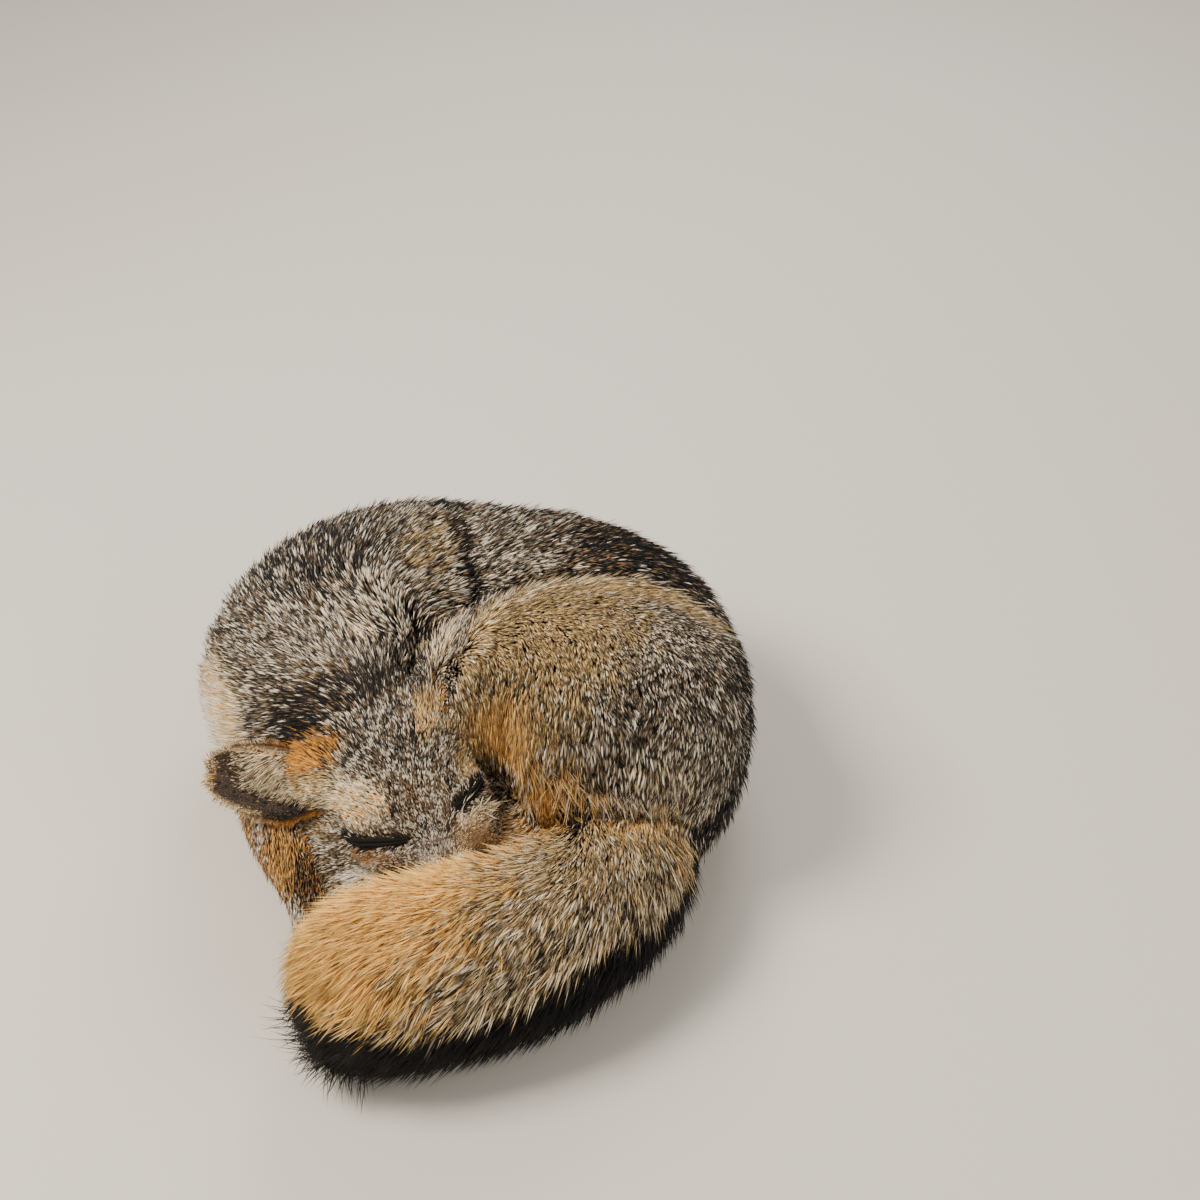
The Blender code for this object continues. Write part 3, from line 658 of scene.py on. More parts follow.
def part_of_form(*names):
    """1 at the points of these nodes, 0 elsewhere."""
    return np.isin(limb, [FLESH.index(name) for name in names]).astype(float)


marks = spread(zones(body, part_of_form), 2)
print("share of the coat in each colour:", dict(zip(COLOURS, marks.mean(0).round(2))))

# %% [markdown]
# A sleeping fox's eye is a dark, slanting line. Each is given its own directions, along the lids, out of the head
# and across, so that later steps can ask how near to the line a point is. They could be read from an empty set by
# hand; here they start from the box of the model's own eye.

# %% Where the closed eyes are
class ClosedEye:
    """The line of one closed eye, with its own directions: along the lids, out of the head, and across."""

    def __init__(self, node, side, half):
        self.half = half
        self.along = HEAD_AHEAD * 0.40 - HEAD_RIGHT * side * 0.88 + HEAD_UP * 0.12
        self.along /= np.linalg.norm(self.along)
        out = HEAD_RIGHT * side * 0.50 + HEAD_UP * 0.66 + HEAD_AHEAD * 0.34
        out -= self.along * (out @ self.along)
        self.out = out / np.linalg.norm(out)
        self.across = np.cross(self.along, self.out)
        if self.across @ HEAD_UP < 0:
            self.across = -self.across
        low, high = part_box(node)
        self.middle = (np.array(low) + np.array(high)) / 2 + self.out * 0.0042  # on the coat, over the solid's middle
        self.middle += self.along * (0.001 if side > 0 else -0.003)

    def measure(self, points):
        """Along the lids and across them, in metres, and how far off the surface."""
        off = points - self.middle
        return off @ self.along, off @ self.across, off @ self.out


eyes = [ClosedEye("eye_right", 1.0, 0.0205), ClosedEye("eye_left", -1.0, 0.0125)]
print("width of each eye, mm:", [eye.half * 2000 for eye in eyes])

# %% [markdown]
# The skin is the coat's form drawn inwards by the depth of the fur. It keeps the same squares, so each value
# already worked out for the form belongs to the skin too. It is pressed in along the closed eyes, where the lids
# roll over the eyeball, and the hair is combed away from that line, or it would cover the eyes.

# %% The skin's shape
ABOVE_FLOOR = 0.0012  # skin, whiskers and claws stay this far above the floor
EYE_REACH = 0.02  # marks of an eye stay this near its own surface
PARTING_WIDTH, SOCKET_WIDTH, SOCKET_DEPTH = 0.010, 0.0035, 0.0012
LASH_SAG = 0.0012  # how far the middle of the dark line hangs below its ends
BLACK = COLOURS.index("black")
skin_co = form_co - form_no * depth[:, None]
skin_co = spread(skin_co, 2, 0.4)
skin_co[:, 2] = np.maximum(skin_co[:, 2], ABOVE_FLOOR)

for eye in eyes:
    a, b, c = eye.measure(form_co)
    here = np.abs(c) < EYE_REACH
    near = smooth(1.35, 0.85, np.abs(a) / eye.half) * here * on_head
    part_away = near * bell(b, 0.0, PARTING_WIDTH) * 1.5
    lie = lie + eye.across * (np.sign(b) * part_away)[:, None]
    skin_co -= eye.out * (near * bell(b, 0.0, SOCKET_WIDTH) * SOCKET_DEPTH)[:, None]
    bow = np.sqrt(np.clip(1 - (a / eye.half / 1.12) ** 2, 0, 1))
    lash_line = LASH_SAG * (a / eye.half) ** 2
    rim = smooth(0.0, 0.2, bow) * here * bell(b, lash_line, 0.0004 + 0.0024 * bow)
    marks[:, BLACK] = np.maximum(marks[:, BLACK], rim)
lie = unit(flat_on(lie, form_no))

skin_mesh = form_mesh.copy()
skin_mesh.name = "skin"
skin_mesh.vertices.foreach_set("co", skin_co.astype(np.float32).ravel())
skin_mesh.polygons.foreach_set("use_smooth", np.ones(len(skin_mesh.polygons), dtype=bool))
skin = link("skin", skin_mesh)
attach(skin, "root")
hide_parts(*FLESH)
print("skin:", len(skin_mesh.polygons), "faces")

# %% [markdown]
# One recipe colours skin and hair. It reads, at each point, how far along its hair the point is, a few chance
# numbers of that hair, and the zones. Each kind of hair has its own ramp from root to tip, and the zones choose.
# So the bands lie across every hair, as on a real one, with no picture painted on.

# %% The colours of each kind of hair
HAIR_RAMPS = {  # from the root, 0, to the tip, 1
    "grizzle": [(0.0, (62, 52, 43)), (0.40, (88, 72, 56)), (0.54, (226, 210, 184)), (0.74, (236, 224, 204)),
                (0.84, (36, 32, 30)), (1.0, (20, 18, 18))],
    "dim": [(0.0, (56, 46, 38)), (0.45, (78, 63, 48)), (0.60, (138, 116, 88)), (0.72, (108, 92, 74)),
            (0.82, (32, 28, 26)), (1.0, (19, 17, 17))],
    "ochre": [(0.0, (66, 52, 36)), (0.42, (130, 102, 64)), (0.68, (212, 182, 128)), (0.84, (166, 136, 92)),
              (1.0, (62, 50, 38))],
    "cream": [(0.0, (104, 84, 62)), (0.45, (190, 160, 120)), (0.72, (246, 226, 190)), (0.9, (238, 218, 180)),
              (1.0, (130, 106, 80))],
    "tawny": [(0.0, (66, 46, 28)), (0.35, (166, 112, 58)), (0.72, (249, 193, 104)), (1.0, (251, 211, 130))],
    "rufous": [(0.0, (84, 52, 26)), (0.5, (180, 117, 46)), (0.85, (224, 160, 72)), (1.0, (186, 122, 54))],
    "gold": [(0.0, (60, 40, 22)), (0.4, (166, 114, 58)), (0.75, (232, 184, 110)), (1.0, (244, 214, 156))],
    "brown": [(0.0, (84, 60, 40)), (0.5, (150, 112, 74)), (0.8, (186, 146, 102)), (1.0, (140, 104, 70))],
    "dark": [(0.0, (44, 34, 28)), (0.5, (70, 52, 38)), (0.72, (150, 120, 84)), (0.84, (50, 38, 30)),
             (1.0, (30, 24, 21))],
    "white": [(0.0, (176, 164, 148)), (0.5, (226, 217, 202)), (1.0, (240, 234, 224))],
    "black": [(0.0, (60, 50, 42)), (0.4, (30, 26, 25)), (1.0, (17, 16, 18))],
}
print("kinds of hair:", ", ".join(HAIR_RAMPS))

# %% [markdown]
# A finish is a small net of nodes. They could be joined by hand in the shader editor; in a script, a few helpers
# that add a node, set its inputs and give back its output keep the net as short as the sentence that describes it.

# %% Helpers for finishes
def add_node(tree, kind, **inputs):
    """A shader node, with values or links given for its inputs by name."""
    made = tree.nodes.new(kind)
    for name, value in inputs.items():
        socket = made.inputs[name.replace("_", " ")]
        if isinstance(value, bpy.types.NodeSocket):
            tree.links.new(value, socket)
        else:
            socket.default_value = value
    return made


def sum_of(tree, first, second, kind="ADD"):
    """The sum of two values or links, or what else kind says."""
    made = tree.nodes.new("ShaderNodeMath")
    made.operation = kind
    for socket, value in zip(made.inputs, (first, second)):
        if isinstance(value, bpy.types.NodeSocket):
            tree.links.new(value, socket)
        else:
            socket.default_value = value
    return made.outputs["Value"]


def colour_ramp(tree, factor, stops):
    """A ramp through these stops: each is a place from 0 to 1, and a colour."""
    made = add_node(tree, "ShaderNodeValToRGB", Fac=factor)
    band = made.color_ramp
    while len(band.elements) < len(stops):
        band.elements.new(0.5)
    for element, (place, colour) in zip(band.elements, stops):
        element.position = place
        element.color = (*srgb(*colour), 1.0)
    return made.outputs["Color"]


def mixed(tree, amount, first, second):
    """First where amount is 0, second where it is 1."""
    made = tree.nodes.new("ShaderNodeMix")
    made.data_type = "RGBA"
    tree.links.new(amount, made.inputs[0])
    tree.links.new(first, made.inputs[6])
    tree.links.new(second, made.inputs[7])
    return made.outputs[2]


def three_values(tree, attribute):
    """The three numbers that an attribute of the mesh holds at each point."""
    read = tree.nodes.new("ShaderNodeAttribute")
    read.attribute_name = attribute
    parts = add_node(tree, "ShaderNodeSeparateXYZ", Vector=read.outputs["Vector"])
    return [parts.outputs[axis] for axis in "XYZ"]


print("helpers:", ", ".join(helper.__name__ for helper in (add_node, sum_of, colour_ramp, mixed, three_values)))

# %% [markdown]
# The finish starts from the grizzle, or a dimmer band for about half of the tufts, and lays each zone's kind of hair
# over it. A chance number shifts the bands a little, so they don't line up from tuft to tuft, and a slow noise
# makes some places lighter. Skin and hair differ only in their roughness and in the skin's fine bumps.

# %% The finish of skin and hair
ZONE_COLUMNS = {"earthy": slice(0, 3), "warm": slice(3, 6), "plain": slice(6, 9)}  # three of COLOURS each
SKIN_AS_HAIR = (0.22, 0.35, 0.9)  # the skin is coloured like this place on a hair, with these two chance numbers


def fur_finish(name, roughness, bump):
    """The finish of skin or hair: banded hairs, zones of colour, and a slow drift of light and dark."""
    finish = bpy.data.materials.new(name)
    finish.use_nodes = True
    tree = finish.node_tree
    shader = tree.nodes["Principled BSDF"]
    along, chance, other_chance = three_values(tree, "hair")
    place = sum_of(tree, along, sum_of(tree, sum_of(tree, chance, 0.5, "SUBTRACT"), 0.16, "MULTIPLY"))
    bands = {kind: colour_ramp(tree, place, stops) for kind, stops in HAIR_RAMPS.items()}
    dull = add_node(tree, "ShaderNodeMapRange", Value=other_chance, From_Min=0.48, From_Max=0.56).outputs["Result"]
    colour = mixed(tree, dull, bands["grizzle"], bands["dim"])
    for attribute, columns in ZONE_COLUMNS.items():
        for kind, amount in zip(COLOURS[columns], three_values(tree, attribute)):
            colour = mixed(tree, amount, colour, bands[kind])
    where = tree.nodes.new("ShaderNodeTexCoord").outputs["Object"]
    drift = add_node(tree, "ShaderNodeTexNoise", Vector=where, Scale=55.0, Detail=3.0).outputs["Fac"]
    light = sum_of(tree, sum_of(tree, drift, 0.60, "MULTIPLY"), sum_of(tree, chance, 0.44, "MULTIPLY"))
    value = sum_of(tree, sum_of(tree, light, sum_of(tree, other_chance, 0.34, "MULTIPLY")), 0.32)
    toned = add_node(tree, "ShaderNodeHueSaturation", Value=value, Color=colour).outputs["Color"]
    tree.links.new(toned, shader.inputs["Base Color"])
    grain = add_node(tree, "ShaderNodeTexNoise", Vector=where, Scale=900.0, Detail=2.0).outputs["Fac"]
    rough = add_node(tree, "ShaderNodeMapRange", Value=grain, To_Min=roughness - 0.08, To_Max=roughness + 0.08)
    tree.links.new(rough.outputs["Result"], shader.inputs["Roughness"])
    shader.inputs["Specular IOR Level"].default_value = 0.28
    if bump:
        relief = add_node(tree, "ShaderNodeBump", Height=grain, Strength=0.5, Distance=bump)
        tree.links.new(relief.outputs["Normal"], shader.inputs["Normal"])
    return finish


def set_points(mesh, name, values):
    """Three numbers at each point of the mesh, which its finish reads by this name."""
    held = mesh.attributes.new(name, "FLOAT_VECTOR", "POINT")
    held.data.foreach_set("vector", np.ascontiguousarray(values, dtype=np.float32).ravel())


def set_zones(mesh, shades):
    """The amounts of all the colours, as attributes of three numbers each."""
    for name, columns in ZONE_COLUMNS.items():
        set_points(mesh, name, shades[:, columns])


skin_finish = fur_finish("skin under the coat", 0.8, 0.0004)
coat_finish = fur_finish("hair of the coat", 0.62, 0.0)
skin_mesh.materials.clear()
skin_mesh.materials.append(skin_finish)
set_points(skin_mesh, "hair", np.tile(SKIN_AS_HAIR, (len(skin_co), 1)))
set_zones(skin_mesh, marks)
print("nodes in the finish of the hair:", len(coat_finish.node_tree.nodes))

# %% [markdown]
# A real coat has thousands of hairs to the square centimetre. Blender can comb strands, but they aren't part of a
# mesh and can't be kept with the model, so here a solid tuft stands for a small bundle of hairs. Chance alone would
# scatter them like pins; real fur gathers and waves, so a smooth noise turns neighbours the same way.

# %% Smooth noise
def noise(points, size, seed):
    """Smooth random lumps of this size, from -1 to 1, the same in every run."""
    q = points / size + seed * 7.31
    cell = np.floor(q).astype(np.int64)
    f = q - cell
    f = f * f * (3 - 2 * f)
    total = np.zeros(len(points))
    for dx in (0, 1):
        for dy in (0, 1):
            for dz in (0, 1):
                key = (cell[:, 0] + dx) * 73856093 ^ (cell[:, 1] + dy) * 19349663 ^ (cell[:, 2] + dz) * 83492791
                key = (key ^ (seed * 2654435761)) & 0xFFFFFFFF
                key = ((key ^ (key >> 13)) * 1274126177) & 0xFFFFFFFF
                value = ((key ^ (key >> 16)) & 0xFFFF) / 32767.5 - 1
                weight = np.where(dx, f[:, 0], 1 - f[:, 0]) * np.where(dy, f[:, 1], 1 - f[:, 1])
                total += value * weight * np.where(dz, f[:, 2], 1 - f[:, 2])
    return total


print("noise at three places 2 mm apart:", noise(form_co[:1] + np.arange(3)[:, None] * 2 * MM, 9 * MM, 1).round(2))

# %% [markdown]
# Each tuft is a small closed spindle: a point at the root, one to three triangles round its belly, and a point at
# the tip. That is only six faces for a straight tuft and twelve for a curved one, so a whole coat can be real mesh.
# Its belly is drawn flat, with a ridge on top, so light catches it like a lock of several hairs.

# %% The faces of one tuft
def spindle_faces(rings):
    """The triangles of one tuft: a fan at the root, bands between the rings, and a fan at the tip."""
    faces = []
    for i in range(3):
        j = (i + 1) % 3
        faces.append((0, 1 + j, 1 + i))
        for ring in range(rings - 1):
            low, high = 1 + 3 * ring, 4 + 3 * ring
            faces += [(low + i, low + j, high + j), (low + i, high + j, high + i)]
        last = 1 + 3 * (rings - 1)
        faces.append((last + i, last + j, 3 * rings + 1))
    return np.array(faces)


print("faces of a short tuft and of a curved one:", len(spindle_faces(1)), len(spindle_faces(2)))

# %% [markdown]
# Tufts by the ten thousand are too many for one operator call each, so all of a piece's tufts are filled in as
# arrays at once: first the points of every ring, then the faces, then what the finish reads at each point.

# %% Many tufts as one mesh
OWN_PATCH = 0.003  # side of each tuft's own patch on the bake map
FLOOR_GAP = 0.0005  # nothing of the coat comes nearer to the floor
BELLY_CORNERS = ((-0.5, -0.12), (0.5, -0.12), (0.0, 0.30))  # to the side and out of the coat, in widths
UPPER_RING = 0.72  # width of the rings above the first, in widths


def tuft_mesh(name, line, flat_side, widths, chances, shades, root_uv):
    """All the tufts of a piece as one mesh. line holds the points of each tuft, from root to tip."""
    count, steps = line.shape[:2]
    rings = steps - 2
    per_tuft = 3 * rings + 2
    points = np.empty((count, per_tuft, 3))
    points[:, 0] = line[:, 0]
    points[:, -1] = line[:, -1]
    along = np.zeros(per_tuft)
    along[-1] = 1.0
    flat = np.zeros((per_tuft, 2))
    flat[0], flat[-1] = (0.5, 0.0), (0.5, 1.0)
    for ring in range(rings):
        heading = unit(line[:, ring + 2] - line[:, ring])
        ridge = unit(flat_side - heading * (flat_side * heading).sum(1, keepdims=True))
        side = np.cross(heading, ridge)
        share = (ring + 1) / (steps - 1)
        wide = widths * (1.0 if ring == 0 else UPPER_RING)
        for corner, (aside, outward) in enumerate(BELLY_CORNERS):
            k = 1 + 3 * ring + corner
            points[:, k] = line[:, ring + 1] + side * (aside * wide)[:, None] + ridge * (outward * wide)[:, None]
            along[k] = share
            flat[k] = (corner / 2, share)
    points[:, :, 2] = np.maximum(points[:, :, 2], FLOOR_GAP)

    faces = spindle_faces(rings)
    corners = points[:, faces]
    volume = (corners[:, :, 0] * np.cross(corners[:, :, 1], corners[:, :, 2])).sum()
    if volume < 0:  # the faces look inwards, so turn them
        faces = faces[:, ::-1]
    triangles = (faces[None] + (np.arange(count) * per_tuft)[:, None, None]).reshape(-1, 3)

    mesh = bpy.data.meshes.new(name)
    mesh.vertices.add(count * per_tuft)
    mesh.vertices.foreach_set("co", points.astype(np.float32).ravel())
    mesh.loops.add(triangles.size)
    mesh.loops.foreach_set("vertex_index", triangles.astype(np.int32).ravel())
    mesh.polygons.add(len(triangles))
    mesh.polygons.foreach_set("loop_start", np.arange(0, triangles.size, 3, dtype=np.int32))
    mesh.polygons.foreach_set("use_smooth", np.ones(len(triangles), dtype=bool))
    mesh.update(calc_edges=True)

    chances = np.repeat(chances, per_tuft, axis=0)
    set_points(mesh, "hair", np.column_stack([np.tile(along, count), chances]))
    set_zones(mesh, np.repeat(shades, per_tuft, axis=0))
    bake = mesh.uv_layers.new(name="OFBake")
    spot = root_uv[:, None, None] * (1 - OWN_PATCH) + flat[faces][None] * OWN_PATCH
    bake.data.foreach_set("uv", spot.astype(np.float32).ravel())
    mesh.materials.append(coat_finish)
    return mesh


print("corners round a tuft's belly:", len(BELLY_CORNERS))

# %% [markdown]
# The tip of each tuft is laid on the coat's form, which gives the fox its true outline, and no tip may leave the
# model's size. The map for baking is an unwrap of the skin's own shape, made for the squares of one piece: each
# tuft later takes a small patch of it where its root stands.

# %% Where tips may lie, and the map of the skin
form_tree = BVHTree.FromPolygons([Vector(p) for p in form_co], [tuple(int(i) for i in s) for s in squares])
SPARE_SHARE = 0.026  # how far tips may pass the solids' box, as a share of its size
spare = SPARE_SHARE * (np.array(cad_box[1]) - np.array(cad_box[0]))
LOWEST, HIGHEST = np.array(cad_box[0]) - spare, np.array(cad_box[1]) + spare


def settle(points, above, most):
    """Moves each point on to the form, or this far above it, but no further than most."""
    moved = points.copy()
    for i, (point, height, limit) in enumerate(zip(points, above, most)):
        place, normal, _, _ = form_tree.find_nearest(Vector(point))
        off = (Vector(point) - place).dot(normal)
        moved[i] = point + np.array(normal) * min(max(height - off, -limit), limit)
    return moved


def unwrapped(ground, chosen):
    """Where the corners of the chosen squares fall on a flat map of the skin's own shape."""
    used, renumbered = np.unique(ground["squares"][chosen], return_inverse=True)
    renumbered = renumbered.reshape(-1, 4)
    mesh = bpy.data.meshes.new("map")
    mesh.from_pydata(ground["root"][used].tolist(), [], renumbered.tolist())
    sheet = link("map", mesh)
    bpy.context.view_layer.objects.active = sheet
    sheet.select_set(True)
    bpy.ops.object.mode_set(mode="EDIT")
    bpy.ops.mesh.select_all(action="SELECT")
    bpy.ops.uv.smart_project(angle_limit=1.2, island_margin=0.006)
    bpy.ops.object.mode_set(mode="OBJECT")
    flat = np.empty(len(mesh.loops) * 2)
    mesh.uv_layers.active.data.foreach_get("uv", flat)
    bpy.data.objects.remove(sheet, do_unlink=True)
    return flat.reshape(-1, 4, 2)


print("room for the tips, mm:", (spare * 1000).round(1))

# %% [markdown]
# Tufts are set square by square, at places that never fall together: each next one in a square is a fixed odd step
# from the last. A handful of tufts that stand close share a lock, and lean towards its middle. The number of a lock
# comes from a grid of cells, bent by noise so that no row of them shows.

# %% Roots and locks
PLACE_STEPS = (0.7548776662, 0.5698402910)  # along and across a square; no number of steps comes back to a place


def square_areas(corners):
    """The area of each square, as two triangles."""
    one = np.cross(corners[:, 1] - corners[:, 0], corners[:, 2] - corners[:, 0])
    two = np.cross(corners[:, 2] - corners[:, 0], corners[:, 3] - corners[:, 0])
    return 0.5 * (np.linalg.norm(one, axis=1) + np.linalg.norm(two, axis=1))


def root_places(number, chance):
    """For this many roots in each square: which square each root is in, and its share of the four corners."""
    own = np.repeat(np.arange(len(number)), number)
    order = np.arange(len(own)) - np.repeat(np.cumsum(number) - number, number)
    shift = chance.random((len(number), 2))[own]
    u = (shift[:, 0] + order * PLACE_STEPS[0]) % 1.0
    v = (shift[:, 1] + order * PLACE_STEPS[1]) % 1.0
    return own, np.stack([(1 - u) * (1 - v), u * (1 - v), u * v, (1 - u) * v], axis=1)


def lock_of(points, size, seed):
    """The number of the lock that each root belongs to: roots in the same small, crooked cell share one."""
    warped = points + np.stack([noise(points, size * 1.7, seed + k) for k in range(3)], axis=1) * size * 0.45
    cell = np.floor(warped / size).astype(np.int64)
    return np.unique(cell, axis=0, return_inverse=True)[1].ravel()


def mean_by(group, values):
    """Each group's average, given back to every member."""
    share = np.bincount(group)
    sums = np.stack([np.bincount(group, values[:, k]) for k in range(values.shape[1])], axis=1)
    return (sums / share[:, None])[group]


print("locks of 3 mm that the whole coat would have:", lock_of(form_co, 3 * MM, 1).max() + 1)

# %% [markdown]
# A tuft takes its direction and length from its square, with a little chance, and shares a wave of the comb with
# its neighbours. Its tip is then drawn towards its lock's and laid on the form, and the line from root to tip is
# bent, so that it leaves the skin steeply and ends nearly flat, as hair does.

# %% Combing and laying the tufts
SHORTEST = 0.0012  # below this there is no tuft
ROOT_DEPTH = 0.0008  # roots start this far under the skin
STEEPEST = 0.85  # of the length, the most that a tuft may rise
FURTHEST = 0.45  # of the length, the most that a tip is moved to lay it on the form
LOOSE_SHARE = 0.20  # of the tufts have a tip that stands off
FLAT_CROWN = (0.162, 0.142)  # above the first height no tip stands off, below the second as many as anywhere


def combed(roots, lump, wave, stray, lock, gather, seed, chance):
    """The length, the tip, the sideways direction and the lock of each tuft, before it is laid on the form."""
    root, normal, comb, long, deep = (roots[key] for key in ("root", "normal", "lie", "length", "depth"))
    count = len(root)
    side = np.cross(normal, unit(comb))
    swing = noise(root, lump * MM, seed) * wave * 1.6 + noise(root, lump * 0.4 * MM, seed + 40) * wave
    swing += chance.normal(0, stray, count)
    comb = unit(comb + side * swing[:, None])
    long = long * np.clip(1 + chance.normal(0, 0.16, count) + 0.15 * noise(root, lump * MM, seed + 9), 0.5, 1.5)
    rise = np.minimum(deep * (0.9 + 0.25 * chance.random(count)) / long, STEEPEST)
    tip = root + comb * (long * np.sqrt(1 - rise**2))[:, None] + normal * (long * rise)[:, None]
    group = lock_of(root, lock * MM, seed)
    tip += (mean_by(group, tip - root) + mean_by(group, root) - tip) * (gather * chance.random((count, 1)))
    return long, tip, side, group


def laid_on_form(root, tip, long, group, fuzz, relief, chance):
    """The tips on the coat's form or just above it: a few stand off by fuzz, and whole locks by relief."""
    loose = (chance.random(len(root)) < LOOSE_SHARE) * chance.random(len(root)) * fuzz * np.clip(long / 0.014, 0.3, 1.6)
    loose *= smooth(*FLAT_CROWN, root[:, 2])
    by_length = np.clip(long / 0.012, 0.3, 1.3)
    above = chance.normal(0.0002, 0.0005, len(root)) * by_length + loose
    above += relief * (chance.random(group.max() + 1)[group] - 0.5) * by_length
    return settle(tip, above, FURTHEST * long)


def bent_lines(roots, tip, long, side, steps, lump, seed):
    """The points of each tuft from root to tip: it rises first, then lies down, and curls a little sideways."""
    base = roots["root"] - roots["normal"] * ROOT_DEPTH
    line = [base]
    for step in range(1, steps - 1):
        t = step / (steps - 1)
        hump = 4 * t * (1 - t) * 0.25 * roots["depth"]
        curl = noise(roots["root"], lump * 0.5 * MM, seed + 70 + step) * 0.06 * long
        line.append(base + (tip - base) * t + roots["normal"] * hump[:, None] + side * curl[:, None])
    return np.stack(line + [tip], axis=1)


print("shortest tuft, mm:", SHORTEST * 1000)

# %% [markdown]
# Colour goes tuft by tuft: a zone that is half black has every second tuft black, which gives the grizzle, and
# tufts of one lock often draw the same lot. All the steps are then put together in one function, which every piece
# of the coat calls with its own width, locks and waves.

# %% Growing one piece of coat
def lots(shades, group, alike, chance):
    """Each tuft's two chance numbers and its colours, drawn from its zones; many of a lock draw alike."""
    chances = chance.random((len(shades), 2))
    of_lock = chance.random(group.max() + 1)[group]
    chances[:, 1] = np.where(chance.random(len(shades)) < alike, of_lock, chances[:, 1])
    drawn = chance.random(shades.shape)
    drawn_by_lock = chance.random((group.max() + 1, shades.shape[1]))[group]
    drawn = np.where(chance.random((len(shades), 1)) < 0.7 * alike, drawn_by_lock, drawn)
    return chances, smooth(drawn * 0.9, drawn * 0.9 + 0.1, shades)


def grow(name, ground, chosen, faces_wanted, steps=3, width=1.1, stray=0.10, wave=0.20, lump=9.0, lock=2.6,
         gather=0.45, fuzz=0.0036, relief=0.0006, alike=0.6, seed=1):
    """A piece of coat on the chosen squares of the ground, of about this many faces.

    Width, lump and lock are sizes in mm: of a tuft, of its waves and of a lock. Fuzz and relief are in metres: how
    far a loose tip and a whole lock stand off. Stray, wave, gather and alike are shares.
    """
    chance = np.random.default_rng(seed)
    squares_here = ground["squares"][chosen]
    size = square_areas(ground["form"][squares_here]) * ground["thick"][chosen]
    wanted = size / size.sum() * faces_wanted / len(spindle_faces(steps - 2))
    number = np.floor(wanted + chance.random(len(wanted))).astype(int)
    own, share = root_places(number, chance)

    def at_roots(key):
        corners = ground[key][squares_here[own]]
        return (corners * share.reshape(share.shape + (1,) * (corners.ndim - 2))).sum(1)

    roots = {key: at_roots(key) for key in ("root", "normal", "lie", "length", "depth", "marks")}
    roots["normal"] = unit(roots["normal"])
    keep = roots["length"] > SHORTEST
    roots = {key: field[keep] for key, field in roots.items()}

    long, tip, side, group = combed(roots, lump, wave, stray, lock, gather, seed, chance)
    if ground["settles"]:
        tip = laid_on_form(roots["root"], tip, long, group, fuzz, relief, chance)
    tip = np.clip(tip, LOWEST, HIGHEST)
    line = bent_lines(roots, tip, long, side, steps, lump, seed)
    chances, shades = lots(roots["marks"], group, alike, chance)
    root_uv = (unwrapped(ground, chosen)[own[keep]] * share[keep][..., None]).sum(1)
    widths = width * MM * (0.75 + 0.5 * chance.random(len(tip))) * np.clip(long / long.mean(), 0.6, 1.2)
    mesh = tuft_mesh(name, line, roots["normal"], widths, chances, shades, root_uv)
    piece = link(name, mesh)
    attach(piece, "root")
    print(name + ":", len(tip), "tufts,", len(mesh.polygons), "faces")
    return piece


print("colours that each tuft draws lots for:", len(COLOURS))

# %% [markdown]
# Where one part of the body lies on another, the hair between them is never seen, so few tufts grow there, and few
# under the belly. Along the closed lids none grow. Tufts saved there are spent where the coat is seen.

# %% Where the coat is thin
HIDDEN, UNDERNEATH = 0.3, 0.25  # shares of tufts where they aren't seen


def openness(points, normals, squares_at, within=0.012):
    """1 where a square looks out freely, less where another part of the body lies against it."""
    middle, facing = points[squares_at].mean(1), unit(normals[squares_at].mean(1))
    free = np.ones(len(squares_at))
    for i, (place, way) in enumerate(zip(middle, facing)):
        if form_tree.ray_cast(Vector(place + way * 0.0008), Vector(way), within)[0] is not None:
            free[i] = HIDDEN
    free[(facing[:, 2] < -0.6) & (middle[:, 2] < 0.014)] = UNDERNEATH
    return free


clear = np.ones(len(form_co))
for eye in eyes:
    a, b, c = eye.measure(form_co)
    inside = (np.abs(a) < eye.half) & (np.abs(c) < EYE_REACH)
    gap = 0.0008 * np.sqrt(np.clip(1 - (a / eye.half) ** 2, 0, 1))
    clear[inside & (np.abs(b) < gap)] = 0.0
body_ground = {
    "form": form_co, "root": skin_co, "normal": form_no, "lie": lie, "length": length * clear, "depth": depth,
    "marks": marks, "squares": squares, "thick": openness(form_co, form_no, squares), "settles": True,
    "slot": {"coat_tail_base": "tail_coat", "coat_tail_end": "tail_coat", "coat_legs": "leg_coat"},
}


def squares_of(*names):
    """The numbers of the squares that belong to these nodes."""
    return np.flatnonzero(np.isin(limb[squares[:, 0]], [FLESH.index(name) for name in names]))


print("squares that few tufts grow on:", int((body_ground["thick"] < 1).sum()))

# %% [markdown]
# The coat could be one mesh, but each part has fur of its own: fine, close locks on the face, and broad ones that
# stand off on the brush. In pieces, each part has its own width of tuft and size of lock, and none grows too large.

